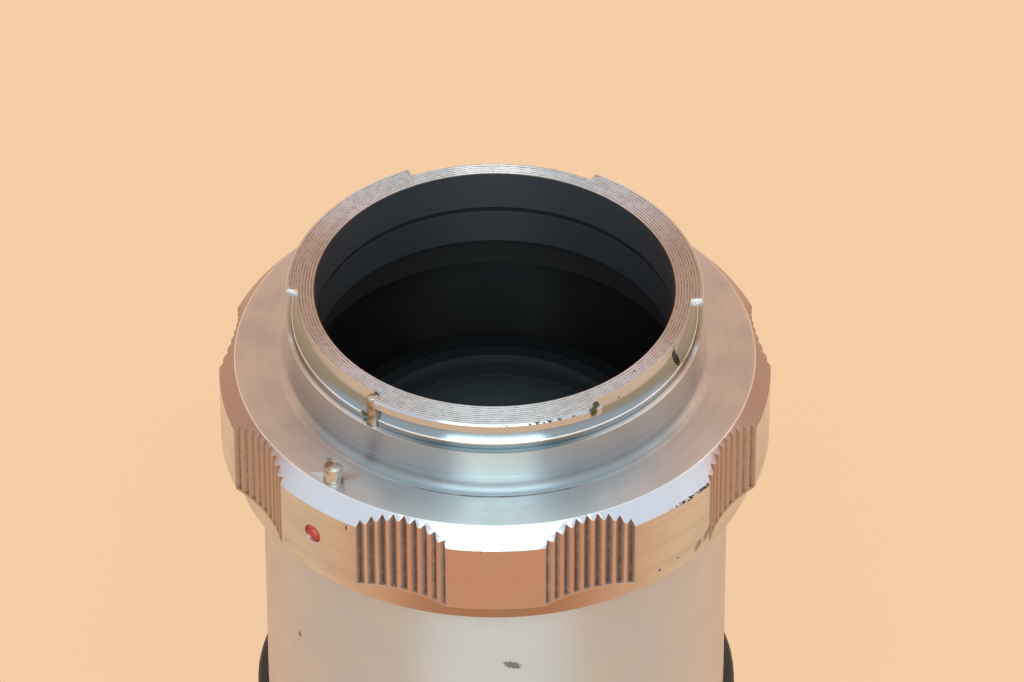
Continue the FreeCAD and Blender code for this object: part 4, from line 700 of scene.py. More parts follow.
# Painted light in the bore: lighter above the throat line, darker below it as painted shade.
black = blend_colour(tree, ramp(tree, height, THROAT_LINE_HEIGHT - 0.8, THROAT_LINE_HEIGHT),
                     THROAT_SHADED_BLACK, THROAT_LIT_BLACK)
black = tint(tree, black, DEEP_SHADE_BLACK, deep)
dust = speckled(tree, place, 2.4, 0.05, 0.25)
black = tint(tree, black, THROAT_DUST, dust, 0.3)
tree.links.new(blend_colour(tree, inside, tone, black), shader.inputs["Base Color"])
bright = inverse(tree, strongest(tree, inside, times(tree, stains, 0.8)))
tree.links.new(bright, shader.inputs["Metallic"])
gloss = blend_value(tree, rim_face, 0.19, 0.42)
gloss = blend_value(tree, stains, gloss, 0.6)
gloss = blend_value(tree, inside, gloss, 0.55)
tree.links.new(blend_value(tree, deep, gloss, 1.0), shader.inputs["Roughness"])
rings = calc(tree, "ADD", times(tree, fine, 0.2), times(tree, coarse, 1.2))
rings = times(tree, rings, inverse(tree, times(tree, inside, 0.9)))
raise_surface(tree, shader, calc(tree, "SUBTRACT", rings, times(tree, stains, 0.6)))
turned_shine(tree, shader, 0.85)
print("finish:", bayonet_finish.name, "nodes:", len(tree.nodes))

# %% [markdown]
# ## Satin barrel
# The long tube is chromed over a fine, dull surface, so highlights are wide and soft. A dark
# smudge near its front and a few specks keep it from looking new. Its colour is painted
# reflection: warm at the sides, grey towards the front, and a blue-white painted highlight at
# the very front.

# %% Barrel finish
INSIDE_BLACK = (0.005, 0.0052, 0.0055, 1)
# Painted reflections of the room on the barrel: warm at the sides, grey towards the front, a blue-white
# highlight at the front middle.
SATIN_SIDE_REFLECTION = (0.66, 0.60, 0.54, 1)
SATIN_FRONT_REFLECTION = (0.55, 0.53, 0.505, 1)
SATIN_CENTRE_HIGHLIGHT = (0.59, 0.66, 0.70, 1)
CLOUDED_SATIN = (0.50, 0.50, 0.49, 1)
SMUDGE_BROWN = (0.14, 0.09, 0.06, 1)
barrel_marks = [
    (point_on_tube((512, 665), BARREL_RADIUS * MM), 0.55, (1, 0, -0.35), 2.0),
    (point_on_tube((517, 667), BARREL_RADIUS * MM), 0.25, (1, 0, -0.2), 2.0),
    (point_on_tube((300, 634), BARREL_RADIUS * MM), 0.3, (0, 0, 1), 1.5),
]
barrel_finish, tree, shader = new_finish("satin_barrel")
radius, height, turn, place = on_lathe(tree)
fine = turned_lines(tree, place, radius, height, 0.12)
grain = noise(tree, place, 9.0, 3.0)
clouds = noise(tree, place, 0.16, 6.0)
facing = front_facing(tree, turn)
# Painted reflections of the room on the barrel: warm at the sides, grey towards the front, a blue-white
# highlight at the front middle.
tone = tint(tree, SATIN_SIDE_REFLECTION, SATIN_FRONT_REFLECTION, ramp(tree, facing, 0.35, 0.85))
tone = tint(tree, tone, SATIN_CENTRE_HIGHLIGHT, ramp(tree, facing, 0.90, 0.995))
tone = tint(tree, tone, CLOUDED_SATIN, ramp(tree, clouds, 0.35, 0.7, 0.0, 0.25))
smudge = times(tree, marks_mask(tree, place, barrel_marks), 0.8)
pits = speckled(tree, place, 3.1, 0.05, 0.3)
smudge = strongest(tree, smudge, times(tree, pits, 0.5))
tone = tint(tree, tone, SMUDGE_BROWN, smudge)
wall_middle = BARREL_RADIUS - BARREL_WALL / 2
outside = ramp(tree, radius, wall_middle, wall_middle + 0.1)
tree.links.new(tint(tree, INSIDE_BLACK, tone, outside), shader.inputs["Base Color"])
tree.links.new(times(tree, outside, 0.55), shader.inputs["Metallic"])
gloss = calc(tree, "ADD", ramp(tree, clouds, 0.3, 0.7, 0.40, 0.48), times(tree, smudge, 0.2))
tree.links.new(gloss, shader.inputs["Roughness"])
raise_surface(tree, shader, calc(tree, "ADD", times(tree, fine, 0.25), times(tree, grain, 0.35)))
turned_shine(tree, shader, 0.85)
print("finish:", barrel_finish.name)

# %% [markdown]
# ## Black anodised rings
# The adjusting rings are light alloy, dyed black in an acid bath. Where hands and the table touch
# them, the dye is rubbed off at the edges and bare metal shows. Each ring gets its own edges.

# %% Dark ring finish
DYED_BLACK = (0.012, 0.012, 0.013, 1)
FADED_BLACK = (0.024, 0.024, 0.026, 1)
RING_DUST = (0.2, 0.19, 0.17, 1)
BARE_ALLOY = (0.62, 0.60, 0.57, 1)
RING_CHAMFER = 0.4


def dark_ring_finish(name, edges):
    """Black anodised metal, rubbed bright on the given edges of (radius, height)."""
    finish, tree, shader = new_finish(name)
    radius, height, turn, place = on_lathe(tree)
    fine = turned_lines(tree, place, radius, height, 0.1)
    clouds = noise(tree, place, 0.3, 6.0)
    tone = tint(tree, DYED_BLACK, FADED_BLACK, ramp(tree, clouds, 0.3, 0.7))
    dust = speckled(tree, place, 2.2, 0.045, 0.35)
    tone = tint(tree, tone, RING_DUST, dust, 0.5)
    worn = 0.0
    for edge_radius, edge_height in edges:
        rubbed = wear_and_highlight_band(tree, place, radius, height, edge_radius, edge_height, 0.16, 1.7)
        worn = strongest(tree, worn, rubbed)
    worn = times(tree, worn, ramp(tree, clouds, 0.42, 0.62))
    tree.links.new(tint(tree, tone, BARE_ALLOY, worn), shader.inputs["Base Color"])
    tree.links.new(worn, shader.inputs["Metallic"])
    gloss = ramp(tree, clouds, 0.3, 0.7, 0.36, 0.48)
    tree.links.new(blend_value(tree, worn, gloss, 0.28), shader.inputs["Roughness"])
    raise_surface(tree, shader, times(tree, fine, 0.4))
    return finish


def box_of(name):
    """Outer radius, lowest and highest height of a solid, in millimetres."""
    low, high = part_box(name)
    return max(high.x, -low.x) / MM, low.z / MM, high.z / MM


ring_finishes = {}
for ring in ("index_ring", "distance_scale_ring", "focus_ring", "aperture_ring", "preset_ring",
             "filter_ring", "front_barrel"):
    outside, foot, top = box_of(ring)
    edge_heights = (foot + RING_CHAMFER, top - RING_CHAMFER, foot, top)
    ring_finishes[ring] = dark_ring_finish("dark_" + ring, [(outside, level) for level in edge_heights])
print("dark rings:", sorted(ring_finishes))

# %% [markdown]
# ## Inside of the lens
# Cells, tubes and plates behind the glass are painted dull black. The paint is thin, so the turned
# rings show through as faint lines, and dust settles on it.

# %% Black inside, blades, pins, brass
DULL_BLACK = (0.005, 0.0055, 0.006, 1)
THIN_BLACK = (0.010, 0.0115, 0.013, 1)
INSIDE_DUST = (0.14, 0.135, 0.12, 1)
BORE_SHADE = (0.024, 0.031, 0.036, 1)
BORE_LIGHT = (0.045, 0.056, 0.064, 1)
REAR_RING_BLACK = (0.006, 0.0065, 0.0075, 1)
REAR_RING_WIDTH = 1.5
inside_finish, tree, shader = new_finish("black_inside")
radius, height, turn, place = on_lathe(tree)
lines = turned_lines(tree, place, radius, height, 0.7)
tone = tint(tree, DULL_BLACK, THIN_BLACK, ramp(tree, lines, 0.3, 0.8))
dust = speckled(tree, place, 2.0, 0.05, 0.3)
tree.links.new(tint(tree, tone, INSIDE_DUST, dust, 0.5), shader.inputs["Base Color"])
tree.links.new(ramp(tree, lines, 0.3, 0.7, 0.34, 0.46), shader.inputs["Roughness"])
raise_surface(tree, shader, times(tree, lines, 0.15))

rear_ring_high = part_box("rear_retaining_ring")[1]
rear_bore = rear_ring_high.x / MM - REAR_RING_WIDTH
rear_top = rear_ring_high.z / MM
rear_ring_finish, tree, shader = new_finish("rear_ring_black", Roughness=0.6)
radius, height, turn, place = on_lathe(tree)
tone = tint(tree, BORE_SHADE, BORE_LIGHT, ramp(tree, height, rear_top - 1.1, rear_top - 0.7))
tone = tint(tree, tone, REAR_RING_BLACK, ramp(tree, radius, rear_bore + 0.02, rear_bore + 0.08))
tree.links.new(tone, shader.inputs["Base Color"])
dull_rings = turned_lines(tree, place, radius, height, 0.3)
raise_surface(tree, shader, times(tree, dull_rings, 0.1))


def plain_metal(name, colour, dull, gloss):
    """A small metal part: two tones in clouds, and fine grain."""
    finish, tree, shader = new_finish(name, Metallic=1.0)
    radius, height, turn, place = on_lathe(tree)
    clouds = noise(tree, place, 1.1, 5.0)
    tree.links.new(tint(tree, colour, dull, ramp(tree, clouds, 0.4, 0.7)), shader.inputs["Base Color"])
    tree.links.new(ramp(tree, clouds, 0.3, 0.7, gloss, gloss + 0.12), shader.inputs["Roughness"])
    grain = noise(tree, place, 14.0, 2.0)
    raise_surface(tree, shader, times(tree, grain, 0.25))
    return finish


pin_finish = plain_metal("steel_pin", (0.62, 0.59, 0.55, 1), (0.30, 0.22, 0.16, 1), 0.24)
stained_pin_finish = plain_metal("stained_pin", (0.44, 0.38, 0.31, 1), (0.13, 0.085, 0.05, 1), 0.26)
bead_finish = plain_metal("solder_bead", (0.62, 0.58, 0.47, 1), (0.20, 0.16, 0.09, 1), 0.14)
screw_finish = plain_metal("stained_screw", (0.24, 0.16, 0.075, 1), (0.10, 0.06, 0.025, 1), 0.5)
brass_finish = plain_metal("key_brass", (0.62, 0.43, 0.17, 1), (0.35, 0.22, 0.08, 1), 0.3)
blade_finish = plain_metal("blade_steel", (0.11, 0.115, 0.125, 1), (0.07, 0.07, 0.075, 1), 0.32)
print("finishes:", [item.name for item in bpy.data.materials])

# %% [markdown]
# ## Glass
# Lens glass is clear and smooth. A thin coating gives its reflection a blue or violet tint, which
# the shader's Specular Tint sets for the whole surface.

# %% Glass finish
GLASS_DUST = (0.55, 0.54, 0.52, 1)


def coated_glass(name, coating_tone, body_tone, dust_film=0.0):
    """Clear glass whose reflection is tinted by its coating, with a little dust on it."""
    finish, tree, shader = new_finish(
        name, Transmission_Weight=1.0 - dust_film, IOR=1.52, Specular_Tint=coating_tone)
    radius, height, turn, place = on_lathe(tree)
    dust = speckled(tree, place, 1.5, 0.03, 0.3)
    tree.links.new(tint(tree, body_tone, GLASS_DUST, dust, 0.35), shader.inputs["Base Color"])
    haze = noise(tree, place, 0.35, 4.0)
    gloss = calc(tree, "ADD", ramp(tree, haze, 0.5, 0.8, 0.0, 0.03), times(tree, dust, 0.3))
    tree.links.new(gloss, shader.inputs["Roughness"])
    return finish


front_glass = coated_glass("front_glass", (0.75, 0.70, 1.0, 1), (0.97, 0.98, 1.0, 1))
inner_glass = coated_glass("inner_glass", (1.0, 0.86, 0.66, 1), (0.98, 0.99, 0.98, 1))
rear_glass = coated_glass("rear_glass", (0.70, 0.85, 1.0, 1), (0.82, 0.94, 1.0, 1), 0.05)
print("glass finishes:", front_glass.name, inner_glass.name, rear_glass.name)

# %% [markdown]
# ## Dressing the solids
# Each solid gets its finish. The flange, the bayonet and two pins also get a narrow bevel on their
# sharp edges, because no real edge is perfectly sharp and a bevel catches the light as a bright
# hairline. The faces of these solids come apart at their borders, so they are welded first.

# %% Finishes on the solids
FINISH_OF = {
    "bayonet_mount": bayonet_finish, "mount_flange": flange_finish, "rear_barrel": barrel_finish,
    "stop_pin": stained_pin_finish, "locating_pin": pin_finish, "neck_set_screw": screw_finish,
    "focus_stop_pin": pin_finish, "iris_drive_pin": pin_finish, "guide_key_screw": pin_finish,
    "guide_key": brass_finish,
    "front_element": front_glass, "second_element": inner_glass, "third_element": inner_glass,
    "rear_element": rear_glass, "rear_retaining_ring": rear_ring_finish,
}
EDGE_WIDTH = {"mount_flange": 0.05, "bayonet_mount": 0.04, "stop_pin": 0.1, "locating_pin": 0.06}
WELD_REACH = 0.002
BEVEL_FROM_DEGREES = 28
for name, solid in nodes.items():
    finish = FINISH_OF.get(name) or ring_finishes.get(name)
    if finish is None:
        finish = blade_finish if name.startswith("iris_blade") else inside_finish
    solid.data.materials.clear()
    solid.data.materials.append(finish)
    if name in EDGE_WIDTH:
        weld = solid.modifiers.new("join_faces", "WELD")
        weld.merge_threshold = WELD_REACH * MM
        bevel = solid.modifiers.new("soft_edges", "BEVEL")
        bevel.width = EDGE_WIDTH[name] * MM
        bevel.segments = 2
        bevel.limit_method = "ANGLE"
        bevel.angle_limit = math.radians(BEVEL_FROM_DEGREES)
        bevel.use_clamp_overlap = True
        even = solid.modifiers.new("even_shading", "WEIGHTED_NORMAL")
        even.mode = "FACE_AREA_WITH_ANGLE"
        even.keep_sharp = False
print("faces in the solids:", sum(len(solid.data.polygons) for solid in nodes.values()))

# %% [markdown]
# ## Turned pieces made here
# A turned piece is an outline carried round the axis. This helper builds one, and lets the
# radius change with the turn, which is how a knurl is rolled into a grip.

# %% Turned mesh helper
def place_piece(name, points, faces, finish, body):
    """Makes a mesh object from points in millimetres and lets it move with a body."""
    mesh = bpy.data.meshes.new(name)
    mesh.from_pydata([(x * MM, y * MM, z * MM) for x, y, z in points], [], faces)
    mesh.materials.append(finish)
    mesh.validate()
    piece = bpy.data.objects.new(name, mesh)
    bpy.context.scene.collection.objects.link(piece)
    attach(piece, body)
    return piece


def turned_piece(name, outline, steps, finish, body, change=None):
    """Carries a closed outline of (radius, height) round the axis. change gives a radius."""
    points, faces = [], []
    for step in range(steps):
        turn = 2 * math.pi * step / steps
        for row, (radius, height) in enumerate(outline):
            if change:
                radius = change(row, radius, height, turn)
            points.append((radius * math.cos(turn), radius * math.sin(turn), height))
    rows = len(outline)
    for step in range(steps):
        here, there = step * rows, (step + 1) % steps * rows
        for row in range(rows):
            following = (row + 1) % rows
            faces.append((here + row, there + row, there + following, here + following))
    return place_piece(name, points, faces, finish, body)


def ring_faces(rows, steps):
    """The four-sided faces between rings of points, one ring after the other."""
    faces = []
    for row in range(rows - 1):
        for step in range(steps):
            here, following = row * steps + step, row * steps + (step + 1) % steps
            faces.append((here, following, following + steps, here + steps))
    return faces


def smooth_by_angle(piece, degrees):
    """Smooth faces, with hard edges where they meet at more than an angle."""
    for polygon in piece.data.polygons:
        polygon.use_smooth = True
    piece.data.set_sharp_from_angle(angle=math.radians(degrees))


# %% [markdown]
# ## Filter ring
# The lens stands on this ring. Its grip has a straight knurl, pressed in by a toothed wheel, and
# inside its lower end a thread takes a filter. Both are real ridges here, not drawn ones.

# %% Filter ring
THREAD_RADIUS, THREAD_PITCH, THREAD_DEPTH, THREAD_TURNS = 24.1, 0.72, 0.34, 5
THREAD_START = 0.02
THREAD_END = THREAD_START + THREAD_TURNS * THREAD_PITCH
BEZEL_RADIUS, BEZEL_WAIST, BEZEL_BORE, BEZEL_LENGTH, BEZEL_GRIP = 27.5, 26.6, 22.82, 12.0, 6.4
KNURL_COUNT, KNURL_DEPTH, KNURL_STEPS = 120, 0.3, 6
thread_outline = []
for ridge in range(THREAD_TURNS):
    thread_outline += [(THREAD_RADIUS, THREAD_START + ridge * THREAD_PITCH),
                       (THREAD_RADIUS + THREAD_DEPTH, THREAD_START + (ridge + 0.5) * THREAD_PITCH)]
bezel_outline = [
    (26.6, 0.0), (27.0, 0.12), (27.32, 0.35), (BEZEL_RADIUS, 0.7), (BEZEL_RADIUS, 1.0),
    (BEZEL_RADIUS, 1.1), (BEZEL_RADIUS, 5.6), (BEZEL_RADIUS, 5.7), (BEZEL_RADIUS, 6.1),
    (27.42, 6.3), (27.2, BEZEL_GRIP), (BEZEL_WAIST + 0.05, BEZEL_GRIP), (BEZEL_WAIST, 6.5),
    (BEZEL_WAIST, 11.5), (26.45, 11.85), (26.1, BEZEL_LENGTH), (BEZEL_BORE, BEZEL_LENGTH),
    (BEZEL_BORE, THREAD_END), (THREAD_RADIUS, THREAD_END)] + thread_outline[::-1] + [(24.3, 0.0)]
KNURL_ROWS = (5, 6)


def knurled(row, radius, height, turn):
    """The knurl's ridges on the two rows of the grip."""
    if row not in KNURL_ROWS:
        return radius
    share = turn / (2 * math.pi) * KNURL_COUNT % 1
    return radius - KNURL_DEPTH * abs(2 * share - 1)


filter_ring = turned_piece("filter_ring_knurled", bezel_outline, KNURL_COUNT * KNURL_STEPS,
                           ring_finishes["filter_ring"], "optics_barrel", knurled)
smooth_by_angle(filter_ring, 20)
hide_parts("filter_ring")
print("filter ring faces:", len(filter_ring.data.polygons))

# %% [markdown]
# ## Red index dot
# The dot is a drop of red enamel in a drilled dimple. It has shrunk and dried with a low crown
# and a raised rim, and a scratch has bared a little of its edge.

# %% Index dot
DOT_RADIUS = 0.95
dot_low, dot_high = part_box("index_dot")
dot_centre = (dot_low + dot_high) / 2 / MM
dot_turn = math.atan2(dot_centre.y, dot_centre.x)
outwards = Vector((math.cos(dot_turn), math.sin(dot_turn), 0))
sidewards = Vector((-math.sin(dot_turn), math.cos(dot_turn), 0))
DOT_FLOOR = GRIP_RADIUS - 0.5
DRIED_RED = (0.36, 0.012, 0.008, 1)
FRESH_RED = (0.58, 0.040, 0.026, 1)
SCRATCHED_RED = (0.55, 0.25, 0.21, 1)

dot_finish, tree, shader = new_finish("red_enamel", Coat_Weight=0.3, Coat_Roughness=0.1)
radius, height, turn, place = on_lathe(tree)
crazing = noise(tree, place, 4.0, 6.0)
tone = tint(tree, DRIED_RED, FRESH_RED, ramp(tree, crazing, 0.35, 0.65))
dot_scratch = [(point_on_tube((314.5, 532.5), (DOT_FLOOR + 0.2) * MM), 0.2, (0.5, -0.6, -0.9), 2.5)]
tone = tint(tree, tone, SCRATCHED_RED, marks_mask(tree, place, dot_scratch), 0.7)
tree.links.new(tone, shader.inputs["Base Color"])
tree.links.new(ramp(tree, crazing, 0.3, 0.7, 0.22, 0.4), shader.inputs["Roughness"])
raise_surface(tree, shader, crazing, 0.00004)

DOT_STEPS = 40
DOT_ROWS = [(1.0, 0.02), (1.0, 0.22), (0.94, 0.25), (0.8, 0.20), (0.55, 0.18), (0.25, 0.17)]
points = []
for share, level in DOT_ROWS:
    for step in range(DOT_STEPS):
        angle = 2 * math.pi * step / DOT_STEPS
        spot = outwards * (DOT_FLOOR + level)
        spot = spot + sidewards * (DOT_RADIUS * share * math.cos(angle))
        spot = spot + Vector((0, 0, 1)) * (dot_centre.z + DOT_RADIUS * share * math.sin(angle))
        points.append(tuple(spot))
faces = ring_faces(len(DOT_ROWS), DOT_STEPS)
points.append(tuple(outwards * (DOT_FLOOR + 0.17) + Vector((0, 0, dot_centre.z))))
last_row = (len(DOT_ROWS) - 1) * DOT_STEPS
for step in range(DOT_STEPS):
    faces.append((last_row + step, last_row + (step + 1) % DOT_STEPS, len(points) - 1))
faces.append(tuple(range(DOT_STEPS))[::-1])
red_dot = place_piece("red_dot", points, faces, dot_finish, "mount_barrel")
smooth_by_angle(red_dot, 50)
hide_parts("index_dot")
print("red dot at", [round(n, 2) for n in dot_centre])

# %% [markdown]
# ## Bead on the stop pin
# The stop pin's top was closed with a drop of metal that stands up as a small bright bead. A few
# rings of points, pulled in towards the top, make the drop.

# %% Stop pin bead
pin_low, pin_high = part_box("stop_pin")
pin_middle = (pin_low + pin_high) / 2 / MM
BEAD_RADIUS, BEAD_HEIGHT, BEAD_STEPS, BEAD_ROWS = 0.52, 0.28, 28, 6
points = []
for row in range(BEAD_ROWS):
    climb = math.pi / 2 * row / BEAD_ROWS
    for step in range(BEAD_STEPS):
        angle = 2 * math.pi * step / BEAD_STEPS
        swell = 1 + 0.08 * math.sin(2 * angle + 1) + 0.05 * math.sin(3 * angle)
        reach = BEAD_RADIUS * math.cos(climb) * swell
        points.append((pin_middle.x + reach * math.cos(angle), pin_middle.y + reach * math.sin(angle),
                       pin_high.z / MM - 0.02 + BEAD_HEIGHT * math.sin(climb)))
faces = ring_faces(BEAD_ROWS, BEAD_STEPS)
last_row = (BEAD_ROWS - 1) * BEAD_STEPS
faces.append(tuple(last_row + step for step in range(BEAD_STEPS)))
faces.append(tuple(range(BEAD_STEPS))[::-1])
bead = place_piece("stop_pin_bead", points, faces, bead_finish, "mount_barrel")
smooth_by_angle(bead, 60)
print("bead top at", round(max(point[2] for point in points), 3))

# %% [markdown]
# ## Engraved scales
# Numbers and lines are cut into the black rings and filled with white paint. A text object gives
# the numbers' outlines; its points are then bent round the ring. On a lens the numbers are read
# from the camera's side, so their feet point to the mount, which is up here.

# %% White paint and the bending of text
PAINT_WHITE = (0.82, 0.81, 0.77, 1)
RUBBED_WHITE = (0.52, 0.50, 0.46, 1)
white_finish, tree, shader = new_finish("white_paint", Roughness=0.5)
radius, height, turn, place = on_lathe(tree)
rubbed = noise(tree, place, 1.6, 6.0)
tone = tint(tree, PAINT_WHITE, RUBBED_WHITE, ramp(tree, rubbed, 0.4, 0.75))
tree.links.new(tone, shader.inputs["Base Color"])
tree.links.new(ramp(tree, rubbed, 0.3, 0.7, 0.45, 0.6), shader.inputs["Roughness"])
PAINT_RISE = 0.025


def bent_round(points, radius, turn, height):
    """Flat points (right, up, out) in millimetres, laid on a ring with their feet up."""
    bent = []
    for right, up, out in points:
        angle = turn - right / radius
        bent.append(((radius + out) * math.cos(angle), (radius + out) * math.sin(angle), height - up))
    return bent


def text_points(text, size):
    """The points and faces of a text, centred, in millimetres."""
    curve = bpy.data.curves.new("letters", "FONT")
    curve.body = text
    curve.size = size
    curve.align_x = "CENTER"
    curve.align_y = "CENTER"
    curve.resolution_u = 3
    curve.offset = 0.02 * size
    holder = bpy.data.objects.new("letters", curve)
    bpy.context.scene.collection.objects.link(holder)
    bpy.context.view_layer.update()
    mesh = bpy.data.meshes.new_from_object(holder.evaluated_get(bpy.context.evaluated_depsgraph_get()))
    points = [tuple(vertex.co) for vertex in mesh.vertices]
    faces = [tuple(polygon.vertices) for polygon in mesh.polygons]
    bpy.data.objects.remove(holder)
    bpy.data.curves.remove(curve)
    bpy.data.meshes.remove(mesh)
    return points, faces


def engraved(name, radius, letters, lines, body):
    """One painted piece of texts (text, size, turn, height) and lines (turn, low, high, width)."""
    points, faces = [], []
    for text, size, turn, height in letters:
        flat, cells_of = text_points(text, size)
        faces += [tuple(len(points) + corner for corner in cell) for cell in cells_of]
        points += bent_round([(x, y, PAINT_RISE) for x, y, z in flat], radius, turn, height)
    for turn, low, high, width in lines:
        first = len(points)
        flat = [(-width / 2, 0, PAINT_RISE), (width / 2, 0, PAINT_RISE),
                (width / 2, low - high, PAINT_RISE), (-width / 2, low - high, PAINT_RISE)]
        points += bent_round(flat, radius, turn, low)
        faces.append((first, first + 1, first + 2, first + 3))
    return place_piece(name, points, faces, white_finish, body)


# %% [markdown]
# Each number stands where the ring brings it under the index line, which is at the front. The
# focusing slide moves 10 mm in 270 degrees, and a lens of 135 mm needs f * f / (distance - f) of
# travel, so the distances crowd together towards infinity. The aperture's stops are evenly spaced.

# %% Scales
INDEX_TURN = math.radians(-90)
FOCAL_LENGTH, FOCUS_TRAVEL, FOCUS_TURN = 135.0, 10.0, math.radians(270)
DISTANCE_RADIUS, STOP_RADIUS, SHOULDER_RADIUS, DEPTH_RADIUS = 25.3, 25.7, 24.0, 24.2
UNIT_LEVEL, DISTANCE_LEVEL, STOP_LEVEL, DEPTH_LEVEL = 54.8, 56.6, 26.6, 63.3
DISTANCE_FOOT, DISTANCE_TOP = 58.3, 59.7
distance_letters = [("m", 1.7, INDEX_TURN + 0.15, UNIT_LEVEL), ("∞", 2.6, INDEX_TURN, DISTANCE_LEVEL)]
distance_lines = [(INDEX_TURN, DISTANCE_FOOT, DISTANCE_TOP, 0.22)]
for metres in (20, 10, 7, 5, 4, 3, 2.5, 2):
    travel = FOCAL_LENGTH ** 2 / (metres * 1000 - FOCAL_LENGTH)
    turn = INDEX_TURN - travel / FOCUS_TRAVEL * FOCUS_TURN
    distance_letters.append(("%g" % metres, 2.2, turn, DISTANCE_LEVEL))
    distance_lines.append((turn, DISTANCE_FOOT, DISTANCE_TOP, 0.18))
distance_scale = engraved(
    "distance_numbers", DISTANCE_RADIUS, distance_letters, distance_lines, "focus_ring")

STOPS = ("4", "5.6", "8", "11", "16", "22")
STOP_STEP = math.radians(42) / (len(STOPS) - 1)
stop_turns = [INDEX_TURN - index * STOP_STEP for index in range(len(STOPS))]
stop_letters = [(stop, 1.9, turn, STOP_LEVEL) for stop, turn in zip(STOPS, stop_turns)]
stop_lines = [(turn, 27.7, 28.4, 0.16) for turn in stop_turns]
aperture_scale = engraved("aperture_numbers", STOP_RADIUS, stop_letters, stop_lines, "aperture_ring")
shoulder_index = engraved(
    "shoulder_index", SHOULDER_RADIUS, [], [(INDEX_TURN, 29.6, 31.7, 0.3)], "optics_barrel")
preset_index = engraved(
    "preset_index", STOP_RADIUS, [], [(INDEX_TURN, 17.85, 18.15, 0.3)], "preset_ring")

DEPTH_FOOT, DEPTH_TOP, INDEX_TOP, DEPTH_PER_STOP = 60.65, 61.9, 66.3, 0.022
depth_lines, depth_letters = [(INDEX_TURN, DEPTH_FOOT, INDEX_TOP, 0.3)], []
for stop in (8, 16, 22):
    for side in (-1, 1):
        depth_turn = INDEX_TURN + side * stop * DEPTH_PER_STOP
        depth_lines.append((depth_turn, DEPTH_FOOT, DEPTH_TOP, 0.16))
        depth_letters.append(("%d" % stop, 1.5, depth_turn, DEPTH_LEVEL))
depth_scale = engraved("depth_numbers", DEPTH_RADIUS, depth_letters, depth_lines, "mount_barrel")
scales = (distance_scale, aperture_scale, shoulder_index, preset_index, depth_scale)
print("engraved:", [piece.name for piece in scales])

# %% [markdown]
# ## Floor
# The lens stands on a plain, peach coloured sheet that fills the picture. To the camera, and in
# reflections, the sheet partly shines by itself, so its colour is even all over the picture while
# the lens still drops a soft shadow on it.

# %% Floor
PEACH = (0.94, 0.63, 0.386, 1)
FLOOR_HALF = 6.0
floor_mesh = bpy.data.meshes.new("floor")
floor_mesh.from_pydata([(-FLOOR_HALF, -FLOOR_HALF, 0), (FLOOR_HALF, -FLOOR_HALF, 0),
                        (FLOOR_HALF, FLOOR_HALF, 0), (-FLOOR_HALF, FLOOR_HALF, 0)], [], [(0, 1, 2, 3)])
floor = bpy.data.objects.new("floor", floor_mesh)
bpy.context.scene.collection.objects.link(floor)
floor_finish = bpy.data.materials.new("floor_sheet")
floor_finish.use_nodes = True
tree = floor_finish.node_tree
tree.nodes.clear()
OWN_LIGHT_SHARE = 0.65
seen = add(tree, "LightPath")
seen_share = strongest(tree, *(seen.outputs[ray] for ray in (
    "Is Camera Ray", "Is Glossy Ray", "Is Transmission Ray")))
sheet = add(tree, "BsdfDiffuse", {"Color": PEACH})
glow = add(tree, "Emission", {"Color": PEACH, "Strength": 1.0})
mixed = add(tree, "MixShader", {0: times(tree, seen_share, OWN_LIGHT_SHARE),
                                1: sheet.outputs[0], 2: glow.outputs[0]})
add(tree, "OutputMaterial", {"Surface": mixed.outputs[0]})
floor_mesh.materials.append(floor_finish)
print("floor half width in m:", FLOOR_HALF)

# %% [markdown]
# ## Surroundings and light
# Metal shows what stands round it. A room is drawn as soft colour by direction: warm low down and
# at the back, cool at the front and overhead, with one bright window high behind the lens. A large
# soft lamp behind the camera lights the front, and a weak one at the side softens the shadows.

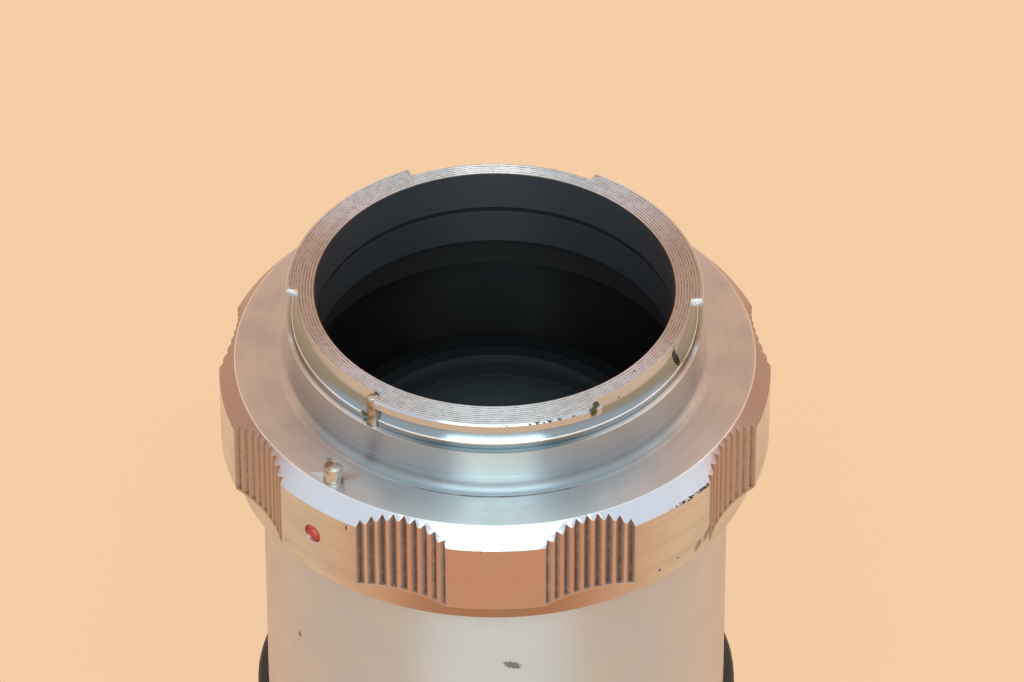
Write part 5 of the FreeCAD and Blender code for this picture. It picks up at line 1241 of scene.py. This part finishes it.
# %% Room
world = bpy.data.worlds.new("room")
bpy.context.scene.world = world
world.use_nodes = True
tree = world.node_tree
background = tree.nodes["Background"]
direction = add(tree, "TexCoord").outputs["Generated"]
split = add(tree, "SeparateXYZ", {0: direction})
WARM_ROOM = (0.82, 0.55, 0.42, 1)
COOL_FRONT = (0.86, 0.90, 0.99, 1)
COOL_TOP = (0.58, 0.80, 0.90, 1)
TOP_WINDOW = (2.0, 2.45, 2.55, 1)
front_half = times(tree, ramp(tree, split.outputs[1], 0.30, -0.05),
                  ramp(tree, split.outputs[2], 0.02, 0.20))
room = tint(tree, WARM_ROOM, COOL_FRONT, front_half)
overhead = ramp(tree, split.outputs[2], 0.82, 0.94)
room = tint(tree, room, COOL_TOP, overhead)
off_middle = calc(tree, "ABSOLUTE", split.outputs[0])
top_window = times(tree, ramp(tree, off_middle, 0.15, 0.05), ramp(tree, split.outputs[1], 0.20, 0.30),
                   ramp(tree, split.outputs[1], 0.62, 0.54), ramp(tree, split.outputs[2], 0.5, 0.6))
room = tint(tree, room, TOP_WINDOW, top_window)
tree.links.new(room, background.inputs["Color"])
background.inputs["Strength"].default_value = 1.0


def soft_lamp(name, place, target, width, height, power, colour):
    """A rectangular lamp that faces a target."""
    lamp_data = bpy.data.lights.new(name, "AREA")
    lamp_data.shape = "RECTANGLE"
    lamp_data.size = width
    lamp_data.size_y = height
    lamp_data.energy = power
    lamp_data.color = colour
    lamp = bpy.data.objects.new(name, lamp_data)
    lamp.location = place
    lamp.rotation_mode = "QUATERNION"
    lamp.rotation_quaternion = (Vector(target) - Vector(place)).to_track_quat("-Z", "Y")
    bpy.context.scene.collection.objects.link(lamp)
    return lamp


LENS_MIDDLE = (0, 0, 0.1)
window = soft_lamp("window", (0.0, -1.25, 1.05), LENS_MIDDLE, 1.3, 0.8, 10.0, (0.76, 0.94, 1.0))
fill = soft_lamp("fill", (1.2, 0.3, 0.9), LENS_MIDDLE, 0.8, 0.8, 1.2, (1.0, 0.93, 0.86))
print("lamps:", window.name, fill.name)

# %% [markdown]
# ## Colour and the last line
# The Standard view shows colours as they are written.

# %% Finish
bpy.context.scene.view_settings.view_transform = "Standard"
